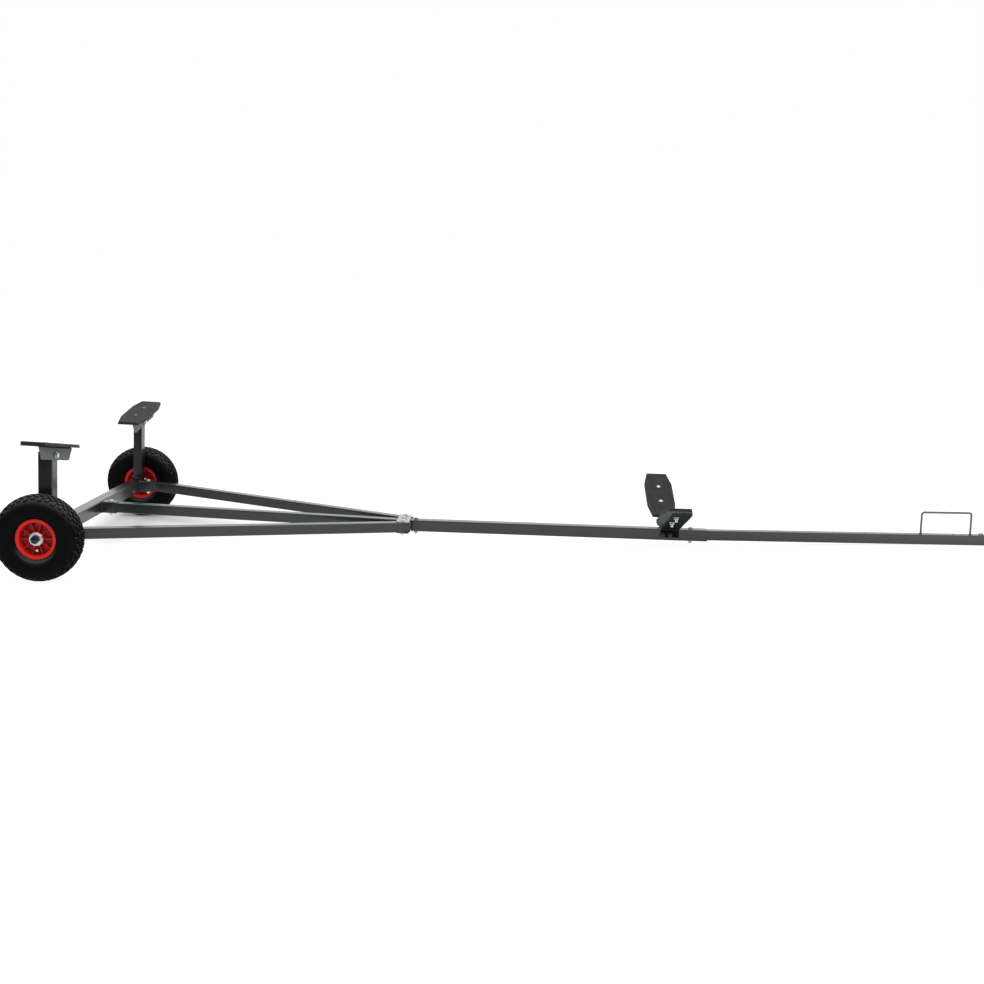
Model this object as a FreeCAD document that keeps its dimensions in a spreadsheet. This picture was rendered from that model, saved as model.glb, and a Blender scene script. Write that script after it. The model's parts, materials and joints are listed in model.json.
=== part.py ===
import FreeCAD, Part
import math
import os
import Sketcher
from FreeCAD import Placement, Rotation, Vector

# Light boat trailer: two wheels on angle posts, a three-armed frame and a telescoping drawbar.
# X runs forward along the drawbar, Y to the left and Z up, with the floor at Z = 0.
# Lengths are in millimetres and angles in degrees.

SIZES = {
    # Wheels
    "wheel_radius": 130.0,
    "half_track": 516.0,
    "tyre_width": 84.0,
    "tyre_wall": 6.0,
    "tyre_bead_radius": 50.5,
    "rim_radius": 61.0,
    "rim_width": 62.0,
    "rim_wall": 5.0,
    "rim_web": 8.0,
    "rim_rib": 3.5,
    "rim_sleeve_inset": 8.0,
    "rim_rib_inset": 11.0,
    "hub_radius": 20.0,
    "hub_flange_radius": 20.5,
    "hub_flange": 3.0,
    "hub_length": 54.0,
    # Axle bolts
    "axle_radius": 8.0,
    "axle_head": 9.0,
    "axle_hex": 13.0,
    "spacer_radius": 15.0,
    "washer_radius": 19.0,
    "washer": 3.0,
    "axle_tip": 2.0,
    # Posts of bent sheet
    "wheel_gap": 50.0,
    "post_leg": 42.0,
    "post_sheet": 3.0,
    "post_bend": 5.0,
    "post_foot": 22.0,
    "pivot_height": 236.0,
    "post_over_pivot": 11.0,
    # Square tubes
    "beam_side": 42.0,
    "beam_wall": 2.0,
    "beam_round": 4.0,
    "arm_side": 33.0,
    "arm_wall": 2.0,
    "arm_round": 3.0,
    "drawbar_side": 38.0,
    "drawbar_wall": 1.5,
    "drawbar_round": 3.5,
    "socket_wall": 2.0,
    "socket_length": 47.0,
    "socket_bolt_place": 26.0,
    "arm_end_gap": 2.0,
    "arm_straight": 66.0,
    "arm_bend_radius": 70.0,
    "joint_place": 1031.0,
    "joint_spread": 47.0,
    "arm_overhang": 22.0,
    "centre_past_joint": 105.0,
    # Joint plates
    "plate": 3.0,
    "plate_length": 42.0,
    "plate_width": 132.0,
    "plate_round": 8.0,
    # Drawbar and its front tube
    "drawbar_overlap": 80.0,
    "drawbar_length": 984.0,
    "drawbar_rear_bolt": 15.0,
    "drawbar_front_bolt": 54.0,
    "front_overlap": 116.0,
    "front_length": 1048.0,
    "sag_gap": 0.04,
    "cap_face": 4.0,
    "cap_plug": 25.0,
    "cap_wall": 2.0,
    "front_bolt": 26.0,
    # Bow loop of bent rod
    "loop_rod": 3.5,
    "loop_setback": 143.0,
    "loop_length": 163.0,
    "loop_height": 76.0,
    "loop_bend": 9.0,
    # Bolts
    "bolt_radius": 4.0,
    "bolt_hex": 7.5,
    "bolt_head": 5.5,
    "nut": 6.5,
    "bolt_tip": 4.0,
    "hole_play": 0.3,
    "loose_play": 1.0,
    "running_play": 0.1,
    # Pads and their brackets
    "pad_length": 290.0,
    "pad_width": 96.0,
    "pad_end": 70.0,
    "pad_taper": 73.0,
    "pad": 10.0,
    "pad_edge": 2.0,
    "pad_offset": 12.0,
    "pad_bolt_spread": 50.0,
    "pad_bolt_recess": 4.0,
    "pad_bolt_recess_radius": 9.0,
    "bracket": 3.0,
    "bracket_bend": 5.0,
    "bracket_drop": 40.0,
    "bracket_under_pivot": 14.0,
    "bracket_flange": 58.0,
    "bracket_top": 266.0,
    "bracket_bottom": 224.0,
    "bracket_gap": 0.5,
    "bracket_corner": 5.0,
    "pivot_radius": 5.0,
    "pivot_hex": 8.5,
    "pivot_head": 6.5,
    "rear_tilt": 9.0,
    # Keel support
    "keel_tilt": 20.0,
    "keel_spread": 210.0,
    "keel_height": 90.0,
    "wing_length": 262.0,
    "wing_ahead": 11.0,
    "wing_to_pad": 13.0,
    "wing_width": 62.0,
    "wing_round": 26.0,
    "wing_drop": 9.0,
    "wing_bolt_spread": 12.0,
    "wing_bolt_clear": 4.0,
    # Overrun of every cut
    "overrun": 5.0,
}

doc = FreeCAD.newDocument("BoatTrailer")
sheet = doc.addObject("Spreadsheet::Sheet", "Sizes")
for row, (alias, number) in enumerate(SIZES.items(), start=1):
    sheet.set(f"A{row}", alias)
    sheet.set(f"B{row}", str(number))
    sheet.setAlias(f"B{row}", alias)
doc.recompute()


class Size:
    """A number together with the formula that ties it to the sheet."""

    def __init__(self, value, text):
        self.value = value
        self.text = text

    def __add__(self, other):
        other = as_size(other)
        return Size(self.value + other.value, f"({self.text} + {other.text})")

    def __sub__(self, other):
        other = as_size(other)
        return Size(self.value - other.value, f"({self.text} - {other.text})")

    def __mul__(self, other):
        other = as_size(other)
        return Size(self.value * other.value, f"({self.text} * {other.text})")

    def __truediv__(self, other):
        other = as_size(other)
        return Size(self.value / other.value, f"({self.text} / {other.text})")

    def __neg__(self):
        return self * -1

    __radd__ = __add__
    __rmul__ = __mul__


def as_size(item):
    """Plain numbers, such as a half or a sign, become sizes as well."""
    return item if isinstance(item, Size) else Size(float(item), repr(float(item)))


def size(alias):
    """The size that the sheet keeps under this name."""
    return Size(float(sheet.get(alias)), f"Sizes.{alias}")


def cosine(angle):
    return Size(math.cos(math.radians(angle.value)), f"cos({angle.text} * 1 deg)")


def sine(angle):
    return Size(math.sin(math.radians(angle.value)), f"sin({angle.text} * 1 deg)")


ZERO = as_size(0)
OVERRUN = size("overrun")
RIM_RIBS = 10


def bind(item, prop, length):
    """Ties a property of a feature to the sheet."""
    item.setExpression(prop, as_size(length).text)


def new_body(label):
    body = doc.addObject("PartDesign::Body", label)
    body.Label = label
    return body


def origin_feature(body, role):
    return next(item for item in body.Origin.OriginFeatures if item.Role == role)


def new_sketch(body, plane, offset=None):
    """An empty sketch on one of the body's own planes, moved along its normal."""
    sketch = body.newObject("Sketcher::SketchObject", body.Label + "_sketch")
    sketch.AttachmentSupport = (origin_feature(body, plane), [""])
    sketch.MapMode = "FlatFace"
    if offset is not None:
        sketch.AttachmentOffset = Placement(Vector(0, 0, offset.value), Rotation())
        bind(sketch, "AttachmentOffset.Base.z", offset)
    return sketch


def pin_point(sketch, piece, end, across, up):
    """Fixes one end of a sketch line at named distances from the sketch origin."""
    for kind, length, axis in (("DistanceX", across, -2), ("DistanceY", up, -1)):
        if abs(length.value) < 1e-9:
            sketch.addConstraint(Sketcher.Constraint("PointOnObject", piece, end, axis))
        else:
            index = sketch.addConstraint(Sketcher.Constraint(kind, -1, 1, piece, end, length.value))
            sketch.setExpression(f"Constraints[{index}]", length.text)


def outline(sketch, corners):
    """Closed outline. A corner is (across, up), or (across, up, radius, side) where an arc follows
    it whose centre lies on the left (side 1) or the right (side -1) of the way round."""
    count = len(corners)
    first = sketch.GeometryCount
    flipped = []
    for index, corner in enumerate(corners):
        here = Vector(corner[0].value, corner[1].value, 0)
        after = corners[(index + 1) % count]
        there = Vector(after[0].value, after[1].value, 0)
        if len(corner) == 2:
            sketch.addGeometry(Part.LineSegment(here, there), False)
            flipped.append(False)
            continue
        radius, side = corner[2].value, corner[3]
        chord = there - here
        left = Vector(-chord.y, chord.x, 0).normalize()
        rise = math.sqrt(max(radius ** 2 - (chord.Length / 2) ** 2, 0))
        centre = (here + there) * 0.5 + left * (side * rise)
        start, end = (here, there) if side > 0 else (there, here)
        angles = [math.atan2(p.y - centre.y, p.x - centre.x) for p in (start, end)]
        circle = Part.Circle(centre, Vector(0, 0, 1), radius)
        sketch.addGeometry(Part.ArcOfCircle(circle, angles[0], angles[1]), False)
        flipped.append(side < 0)
    for index, corner in enumerate(corners):
        piece, after = first + index, first + (index + 1) % count
        end = 1 if flipped[index] else 2
        start = 2 if flipped[(index + 1) % count] else 1
        sketch.addConstraint(Sketcher.Constraint("Coincident", piece, end, after, start))
        pin_point(sketch, piece, 2 if flipped[index] else 1, as_size(corner[0]), as_size(corner[1]))
        if len(corner) == 4:
            bound = sketch.addConstraint(Sketcher.Constraint("Radius", piece, corner[2].value))
            sketch.setExpression(f"Constraints[{bound}]", corner[2].text)


def circle(sketch, across, up, radius):
    ring = Part.Circle(Vector(across.value, up.value, 0), Vector(0, 0, 1), radius.value)
    piece = sketch.addGeometry(ring, False)
    pin_point(sketch, piece, 3, across, up)
    bound = sketch.addConstraint(Sketcher.Constraint("Radius", piece, radius.value))
    sketch.setExpression(f"Constraints[{bound}]", radius.text)


def rounded_box(sketch, width, height, radius, across=ZERO, up=ZERO):
    """A rectangle with rounded corners about a centre."""
    right, top = width / 2, height / 2
    outline(sketch, [
        (across - right + radius, up - top), (across + right - radius, up - top, radius, 1),
        (across + right, up - top + radius), (across + right, up + top - radius, radius, 1),
        (across + right - radius, up + top), (across - right + radius, up + top, radius, 1),
        (across - right, up + top - radius), (across - right, up - top + radius, radius, 1)])


def tube_section(sketch, side, wall, radius, across=ZERO, up=ZERO):
    """Square tube wall: a rounded square within a rounded square."""
    rounded_box(sketch, side, side, radius, across, up)
    rounded_box(sketch, side - wall * 2, side - wall * 2, radius - wall, across, up)


def add_pad(body, sketch, length, symmetric=False, reverse=False):
    feature = body.newObject("PartDesign::Pad", body.Label + "_pad")
    feature.Profile = sketch
    feature.SideType = "Symmetric" if symmetric else "One side"
    feature.Reversed = reverse
    bind(feature, "Length", length)
    body.Tip = feature
    return feature


def add_cut(body, sketch, length, symmetric=True, reverse=False):
    """A pocket whose effect on the volume is checked."""
    doc.recompute()
    before = body.Shape.Volume
    feature = body.newObject("PartDesign::Pocket", body.Label + "_cut")
    feature.Profile = sketch
    feature.SideType = "Symmetric" if symmetric else "One side"
    feature.Reversed = reverse
    bind(feature, "Length", length)
    body.Tip = feature
    doc.recompute()
    if body.Shape.Volume > before - 1e-6:
        raise RuntimeError(f"{body.Label}: a cut removes nothing")
    return feature


def round_edges(body, radius, chosen):
    """Rounds the straight edges of the body whose middle the given test accepts."""
    doc.recompute()
    base = body.Tip
    found = [f"Edge{number}" for number, edge in enumerate(base.Shape.Edges, start=1)
             if len(edge.Vertexes) == 2 and chosen(edge.CenterOfMass, edge)]
    rounding = body.newObject("PartDesign::Fillet", body.Label + "_rounding")
    rounding.Base = (base, found)
    bind(rounding, "Radius", radius)
    body.Tip = rounding
    doc.recompute()
    return rounding


def add_turn(body, sketch, axis="Y_Axis"):
    feature = body.newObject("PartDesign::Revolution", body.Label + "_turn")
    feature.Profile = sketch
    feature.ReferenceAxis = (origin_feature(body, axis), [""])
    feature.Angle = 360
    body.Tip = feature
    return feature


def polar(body, feature, count, axis="Y_Axis"):
    pattern = body.newObject("PartDesign::PolarPattern", body.Label + "_pattern")
    pattern.Originals = [feature]
    pattern.Axis = (origin_feature(body, axis), [""])
    pattern.Angle = 360
    pattern.Occurrences = count
    body.Tip = pattern
    return pattern


# Places that several pieces share

WHEEL_RADIUS = size("wheel_radius")
BEAM = size("beam_side")
ARM = size("arm_side")
DRAWBAR = size("drawbar_side")
POST_OUTER = size("half_track") - size("wheel_gap")
POST_LEG = size("post_leg")
ARM_START = BEAM / 2 + size("arm_end_gap")
ARM_SPREAD = POST_OUTER - POST_LEG
SOCKET_BOLT = BEAM / 2 + size("socket_bolt_place")
PIVOT_SPREAD = POST_OUTER - POST_LEG / 2
# From the joint forward, each tube's place follows from the one behind it
CENTRE_REACH = size("joint_place") + size("centre_past_joint")
DRAWBAR_START = CENTRE_REACH - size("drawbar_overlap")
DRAWBAR_END = DRAWBAR_START + size("drawbar_length")
FRONT_START = DRAWBAR_END - size("front_overlap")
FRAME_REACH = FRONT_START + size("front_length")
DRAWBAR_REAR_BOLT = DRAWBAR_START + size("drawbar_rear_bolt")
DRAWBAR_FRONT_BOLT = DRAWBAR_END - size("drawbar_front_bolt")
# The wing bolts pass through the drawbar just behind the front tube
WING_BOLTS = FRONT_START - size("wing_bolt_clear") - size("bolt_radius") - size("wing_bolt_spread")
WING_PLACE = WING_BOLTS + size("wing_ahead")
KEEL_PLACE = WING_PLACE - size("wing_to_pad")
LOOP_PLACE = FRAME_REACH - size("loop_setback")
FRONT_BOLT = FRAME_REACH - size("front_bolt")
HOLE = size("bolt_radius") + size("hole_play")
LOOSE_HOLE = size("bolt_radius") + size("loose_play")

# Where one tube slides in another the frame sags, as far as the play between the two tubes lets it.
# It leans forward about the axle until its front end rests on the floor.
# The origin is on the floor, midway between the rear of the tyres and that front end.


def sagged(start, overlap):
    """Turns what lies ahead of an overlap about the middle of it, nose up."""
    play = DRAWBAR - size("drawbar_wall") * 2 - ARM - size("sag_gap")
    angle = math.degrees(math.asin(play.value / overlap.value))
    middle = Vector((start + overlap / 2).value, 0, 0)
    return Placement(middle, Rotation(Vector(0, 1, 0), -angle)) * Placement(-middle, Rotation())


DRAWBAR_SAG = sagged(DRAWBAR_START, size("drawbar_overlap"))
FRONT_SAG = sagged(FRONT_START, size("front_overlap"))
low = (DRAWBAR_SAG * FRONT_SAG).multVec(Vector(FRAME_REACH.value, 0, -ARM.value / 2))
high = (DRAWBAR_SAG * FRONT_SAG).multVec(Vector(FRAME_REACH.value, 0, ARM.value / 2))
lean = math.asin(WHEEL_RADIUS.value / math.hypot(low.x, low.z)) + math.atan2(low.z, low.x)
front_x = high.x * math.cos(lean) + high.z * math.sin(lean)
axle_x = (WHEEL_RADIUS.value - front_x) / 2
FRAME = Placement(Vector(axle_x, 0, WHEEL_RADIUS.value), Rotation(Vector(0, 1, 0), math.degrees(lean)))
DRAWBAR_FRAME = FRAME * DRAWBAR_SAG
FRONT_FRAME = DRAWBAR_FRAME * FRONT_SAG
finished = []


def finish(item, label, place):
    """Names a sub-part, sets it in the trailer and keeps it for the final checks."""
    item.Label = label
    item.Placement = place
    finished.append(item)


def wheel_place(side):
    return Placement(Vector(axle_x, side * size("half_track").value, WHEEL_RADIUS.value), Rotation())


def rear_pad_place(side):
    """Pivot of a rear pad on the front leg of its post, turned to the pad's tilt."""
    pivot = Vector(BEAM.value / 2, side * PIVOT_SPREAD.value, size("pivot_height").value)
    return FRAME * Placement(pivot, Rotation(Vector(1, 0, 0), side * size("rear_tilt").value))


def keel_pad_place(side):
    """Middle of the underside of a keel pad."""
    middle = Vector(KEEL_PLACE.value, side * size("keel_spread").value, size("keel_height").value)
    return DRAWBAR_FRAME * Placement(middle, Rotation(Vector(1, 0, 0), side * size("keel_tilt").value))


# Crossbeam: its front wall is cut back at both ends for the front legs of the posts

def make_crossbeam():
    body = new_body("crossbeam")
    sketch = new_sketch(body, "XZ_Plane")
    tube_section(sketch, BEAM, size("beam_wall"), size("beam_round"))
    add_pad(body, sketch, (POST_OUTER - size("post_sheet")) * 2, symmetric=True)
    notch = new_sketch(body, "XY_Plane")
    front, depth = BEAM / 2 + OVERRUN, BEAM / 2 - size("post_sheet")
    # The corner next to the inside of the post's bend is cut off
    corner = size("post_bend") - size("post_sheet")
    end = POST_OUTER - size("post_sheet")
    for side in (1, -1):
        inner, outer = ARM_SPREAD * side, (POST_OUTER + OVERRUN) * side
        outline(notch, [(depth, inner), (front, inner), (front, outer), (depth - corner, outer),
                        (depth - corner, end * side), (depth, (end - corner) * side)])
    add_cut(body, notch, BEAM + OVERRUN * 2)
    finish(body, "crossbeam", FRAME)


# Posts: bent sheet angles, one leg outboard and one to the front, with holes for axle and pad pivot

def make_post(name, side):
    body = new_body(name + "_post")
    leg, sheet_metal, bend = POST_LEG, size("post_sheet"), size("post_bend")
    front, rear = BEAM / 2, BEAM / 2 - leg
    outer, inner = POST_OUTER * side, (POST_OUTER - leg) * side
    profile = new_sketch(body, "XY_Plane", -size("post_foot"))
    outline(profile, [
        (rear, outer), (front - bend, outer, bend, -side),
        (front, outer - bend * side), (front, inner), (front - sheet_metal, inner),
        (front - sheet_metal, outer - bend * side, bend - sheet_metal, side),
        (front - bend, outer - sheet_metal * side), (rear, outer - sheet_metal * side)])
    height = size("post_foot") + size("pivot_height") + size("post_over_pivot")
    add_pad(body, profile, height)
    axle_hole = new_sketch(body, "XZ_Plane", -outer)
    circle(axle_hole, ZERO, ZERO, size("axle_radius") + size("hole_play"))
    add_cut(body, axle_hole, size("overrun") * 2)
    pivot_hole = new_sketch(body, "YZ_Plane", front)
    circle(pivot_hole, PIVOT_SPREAD * side, size("pivot_height"), size("pivot_radius") + size("hole_play"))
    add_cut(body, pivot_hole, size("overrun") * 2)
    finish(body, name + "_post", FRAME)


# Square sockets on the front of the crossbeam, each with a bolt hole from top to bottom

def make_socket(name, across):
    body = new_body(name + "_socket")
    sketch = new_sketch(body, "YZ_Plane", BEAM / 2)
    tube_section(sketch, DRAWBAR, size("socket_wall"), size("drawbar_round"), across)
    add_pad(body, sketch, size("socket_length"))
    hole = new_sketch(body, "XY_Plane")
    circle(hole, SOCKET_BOLT, across, HOLE)
    add_cut(body, hole, DRAWBAR + OVERRUN * 2)
    finish(body, name + "_socket", FRAME)


# Outer arms: square tube bent once, in from the socket to the joint plates

def make_arm(name, side):
    body = new_body(name + "_arm")
    path = body.newObject("Sketcher::SketchObject", body.Label + "_path")
    path.AttachmentSupport = (origin_feature(body, "XY_Plane"), [""])
    path.MapMode = "FlatFace"
    spread = ARM_SPREAD * side
    bend_x = ARM_START + size("arm_straight")
    joint = Vector(size("joint_place").value, size("joint_spread").value * side, 0)
    corner = Vector(bend_x.value, spread.value, 0)
    run = (joint - corner).normalize()
    turn = abs(math.atan2(run.y, run.x))
    radius = size("arm_bend_radius")
    back = radius.value * math.tan(turn / 2)
    first, last = corner - Vector(back, 0, 0), corner + run * back
    tip = joint + run * size("arm_overhang").value
    centre = first + Vector(0, -side * radius.value, 0)
    start, end = (last, first) if side > 0 else (first, last)
    angles = [math.atan2(p.y - centre.y, p.x - centre.x) for p in (start, end)]
    path.addGeometry(Part.LineSegment(Vector(ARM_START.value, spread.value, 0), first), False)
    bend = Part.Circle(centre, Vector(0, 0, 1), radius.value)
    path.addGeometry(Part.ArcOfCircle(bend, angles[0], angles[1]), False)
    path.addGeometry(Part.LineSegment(last, tip), False)
    arc_first, arc_last = (2, 1) if side > 0 else (1, 2)
    path.addConstraint(Sketcher.Constraint("Tangent", 0, 2, 1, arc_first))
    path.addConstraint(Sketcher.Constraint("Tangent", 1, arc_last, 2, 1))
    path.addConstraint(Sketcher.Constraint("Horizontal", 0))
    pin_point(path, 0, 1, ARM_START, spread)
    # The two straight runs, made longer, meet at the named bend and pass through the joint bolt
    corner_point = path.addGeometry(Part.Point(corner), True)
    pin_point(path, corner_point, 1, bend_x, spread)
    path.addConstraint(Sketcher.Constraint("PointOnObject", corner_point, 1, 2))
    joint_point = path.addGeometry(Part.Point(joint), True)
    pin_point(path, joint_point, 1, size("joint_place"), size("joint_spread") * side)
    path.addConstraint(Sketcher.Constraint("PointOnObject", joint_point, 1, 2))
    bound = path.addConstraint(Sketcher.Constraint("Radius", 1, radius.value))
    path.setExpression(f"Constraints[{bound}]", radius.text)
    overhang = size("arm_overhang")
    bound = path.addConstraint(Sketcher.Constraint("Distance", joint_point, 1, 2, 2, overhang.value))
    path.setExpression(f"Constraints[{bound}]", overhang.text)
    section = new_sketch(body, "YZ_Plane", ARM_START)
    tube_section(section, ARM, size("arm_wall"), size("arm_round"), spread)
    pipe = body.newObject("PartDesign::AdditivePipe", body.Label + "_sweep")
    pipe.Profile = section
    pipe.Spine = path
    body.Tip = pipe
    holes = new_sketch(body, "XY_Plane")
    circle(holes, SOCKET_BOLT, spread, HOLE)
    circle(holes, size("joint_place"), size("joint_spread") * side, HOLE)
    add_cut(body, holes, ARM + OVERRUN * 2)
    finish(body, name + "_arm", FRAME)


# Straight square tubes along the middle, with bolt holes from top to bottom

def make_tube(name, start, end, side, wall, radius, holes):
    """A tube along the frame. Each hole is given by its place and its radius."""
    body = new_body(name)
    sketch = new_sketch(body, "YZ_Plane", start)
    tube_section(sketch, side, wall, radius)
    add_pad(body, sketch, end - start)
    drilled = new_sketch(body, "XY_Plane")
    for place, hole_radius in holes:
        circle(drilled, place, ZERO, hole_radius)
    add_cut(body, drilled, side + OVERRUN * 2)
    return body


def make_centre_tubes():
    joint = size("joint_place")
    beam = make_tube("centre_arm", ARM_START, CENTRE_REACH, ARM, size("arm_wall"), size("arm_round"),
                     [(SOCKET_BOLT, HOLE), (joint, HOLE), (DRAWBAR_REAR_BOLT, LOOSE_HOLE)])
    finish(beam, "centre_arm", FRAME)
    drawbar = make_tube("drawbar", DRAWBAR_START, DRAWBAR_END, DRAWBAR, size("drawbar_wall"),
                        size("drawbar_round"), [(DRAWBAR_REAR_BOLT, HOLE), (DRAWBAR_FRONT_BOLT, HOLE)])
    cross_holes = new_sketch(drawbar, "XZ_Plane")
    for step in (-1, 1):
        circle(cross_holes, WING_BOLTS + size("wing_bolt_spread") * step, ZERO, HOLE)
    add_cut(drawbar, cross_holes, DRAWBAR + OVERRUN * 2)
    finish(drawbar, "drawbar", DRAWBAR_FRAME)
    front = make_tube("front_tube", FRONT_START, FRAME_REACH - size("cap_face"), ARM, size("arm_wall"),
                      size("arm_round"), [(DRAWBAR_FRONT_BOLT, LOOSE_HOLE), (FRONT_BOLT, HOLE)])
    finish(front, "front_tube", FRONT_FRAME)


# Cap with a hollow plug in the open front end

def make_end_cap():
    body = new_body("front_end_cap")
    face = new_sketch(body, "YZ_Plane", FRAME_REACH - size("cap_face"))
    rounded_box(face, ARM, ARM, size("arm_round"))
    add_pad(body, face, size("cap_face"))
    plug = new_sketch(body, "YZ_Plane", FRAME_REACH - size("cap_face"))
    bore = ARM - size("arm_wall") * 2
    tube_section(plug, bore, size("cap_wall"), size("cap_wall") + size("hole_play"))
    add_pad(body, plug, size("cap_plug"), reverse=True)
    doc.recompute()
    hole = new_sketch(body, "XY_Plane")
    circle(hole, FRONT_BOLT, ZERO, HOLE)
    add_cut(body, hole, ARM + OVERRUN * 2)
    finish(body, "front_end_cap", FRONT_FRAME)


# Two flat plates clamp the three arms where they meet

def make_joint_plate(name, up):
    body = new_body(name)
    sketch = new_sketch(body, "XY_Plane", up)
    rounded_box(sketch, size("plate_length"), size("plate_width"), size("plate_round"), size("joint_place"))
    for step in (-1, 0, 1):
        circle(sketch, size("joint_place"), size("joint_spread") * step, HOLE)
    add_pad(body, sketch, size("plate"))
    finish(body, name, FRAME)


# Bow loop: round rod bent twice, its feet on the front tube

def make_bow_loop():
    body = new_body("bow_loop")
    path = body.newObject("Sketcher::SketchObject", "bow_loop_path")
    path.AttachmentSupport = (origin_feature(body, "XZ_Plane"), [""])
    path.MapMode = "FlatFace"
    foot, top = ARM / 2, ARM / 2 + size("loop_height") - size("loop_rod")
    rear = LOOP_PLACE - size("loop_length") / 2
    front = LOOP_PLACE + size("loop_length") / 2
    bend = size("loop_bend")
    places = [(rear, foot), (rear, top - bend), (rear + bend, top),
              (front - bend, top), (front, top - bend), (front, foot)]
    points = [Vector(a.value, b.value, 0) for a, b in places]
    path.addGeometry(Part.LineSegment(points[0], points[1]), False)
    arc = Part.Circle(Vector(places[2][0].value, places[1][1].value, 0), Vector(0, 0, 1), bend.value)
    path.addGeometry(Part.ArcOfCircle(arc, math.pi / 2, math.pi), False)
    path.addGeometry(Part.LineSegment(points[2], points[3]), False)
    arc = Part.Circle(Vector(places[3][0].value, places[4][1].value, 0), Vector(0, 0, 1), bend.value)
    path.addGeometry(Part.ArcOfCircle(arc, 0, math.pi / 2), False)
    path.addGeometry(Part.LineSegment(points[4], points[5]), False)
    for piece, end, after, start in ((0, 2, 1, 2), (1, 1, 2, 1), (2, 2, 3, 2), (3, 1, 4, 1)):
        path.addConstraint(Sketcher.Constraint("Tangent", piece, end, after, start))
    path.addConstraint(Sketcher.Constraint("Vertical", 0))
    path.addConstraint(Sketcher.Constraint("Vertical", 4))
    pin_point(path, 0, 1, *places[0])
    pin_point(path, 4, 2, *places[5])
    for piece in (1, 3):
        bound = path.addConstraint(Sketcher.Constraint("Radius", piece, bend.value))
        path.setExpression(f"Constraints[{bound}]", bend.text)
    bound = path.addConstraint(Sketcher.Constraint("DistanceY", -1, 1, 2, 1, top.value))
    path.setExpression(f"Constraints[{bound}]", top.text)
    section = new_sketch(body, "XY_Plane", foot)
    circle(section, rear, ZERO, size("loop_rod"))
    pipe = body.newObject("PartDesign::AdditivePipe", "bow_loop_sweep")
    pipe.Profile = section
    pipe.Spine = path
    body.Tip = pipe
    finish(body, "bow_loop", FRONT_FRAME)


# Bolts: hexagon head, shank and nut about a line from top to bottom

def bolt_solid(name, place, grip, radius, hexagon, head, nut=ZERO, tip=ZERO):
    """Bolt along its own Z, its head above a grip that is centred on the place."""
    shank = doc.addObject("Part::Cylinder", name + "_shank")
    bind(shank, "Radius", radius)
    bind(shank, "Height", grip + nut + tip)
    shank.Placement = place * Placement(Vector(0, 0, -(grip / 2 + nut + tip).value), Rotation())
    pieces = [shank]
    ends = [("_head", head, grip / 2)]
    if nut.value:
        ends.append(("_nut", nut, -(grip / 2 + nut)))
    for part_name, height, base in ends:
        prism = doc.addObject("Part::Prism", name + part_name)
        prism.Polygon = 6
        bind(prism, "Circumradius", hexagon)
        bind(prism, "Height", height)
        prism.Placement = place * Placement(Vector(0, 0, base.value), Rotation())
        pieces.append(prism)
    return pieces


def fuse(label, pieces, place):
    joined = doc.addObject("Part::MultiFuse", label)
    joined.Shapes = pieces
    finish(joined, label, place)


def frame_bolt(name, x, y, grip):
    place = Placement(Vector(x.value, y.value, 0), Rotation())
    return bolt_solid(name, place, grip, size("bolt_radius"), size("bolt_hex"), size("bolt_head"), size("nut"),
                      size("bolt_tip"))


def make_frame_bolts():
    socket_bolts = []
    for number, across in enumerate((ARM_SPREAD, ZERO, -ARM_SPREAD)):
        socket_bolts += frame_bolt(f"socket_bolt_{number}", SOCKET_BOLT, across, DRAWBAR)
    fuse("socket_bolts", socket_bolts, FRAME)
    joint_bolts = []
    for number, step in enumerate((-1, 0, 1)):
        joint_bolts += frame_bolt(f"joint_bolt_{number}", size("joint_place"), size("joint_spread") * step,
                                  ARM + size("plate") * 2)
    fuse("joint_bolts", joint_bolts, FRAME)
    drawbar_bolts = frame_bolt("drawbar_bolt_rear", DRAWBAR_REAR_BOLT, ZERO, DRAWBAR)
    drawbar_bolts += frame_bolt("drawbar_bolt_front", DRAWBAR_FRONT_BOLT, ZERO, DRAWBAR)
    # The screw in the front end has no nut, because the tube rests on the floor there
    screw_place = FRONT_SAG * Placement(Vector(FRONT_BOLT.value, 0, 0), Rotation())
    drawbar_bolts += bolt_solid("front_end_screw", screw_place, ARM, size("bolt_radius"), size("bolt_hex"),
                                size("bolt_head"))
    fuse("drawbar_bolts", drawbar_bolts, DRAWBAR_FRAME)
    wing_bolts = []
    for number, step in enumerate((-1, 1)):
        middle = Vector((WING_BOLTS + size("wing_bolt_spread") * step).value, 0, 0)
        wing_bolts += bolt_solid(f"wing_bolt_{number}", Placement(middle, Rotation(Vector(1, 0, 0), 90)),
                                 DRAWBAR + size("bracket") * 2, size("bolt_radius"), size("bolt_hex"),
                                 size("bolt_head"), size("nut"), size("bolt_tip"))
    fuse("wing_bolts", wing_bolts, DRAWBAR_FRAME)


# Pads: long plates with tapered ends and two sunk bolt holes

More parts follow.
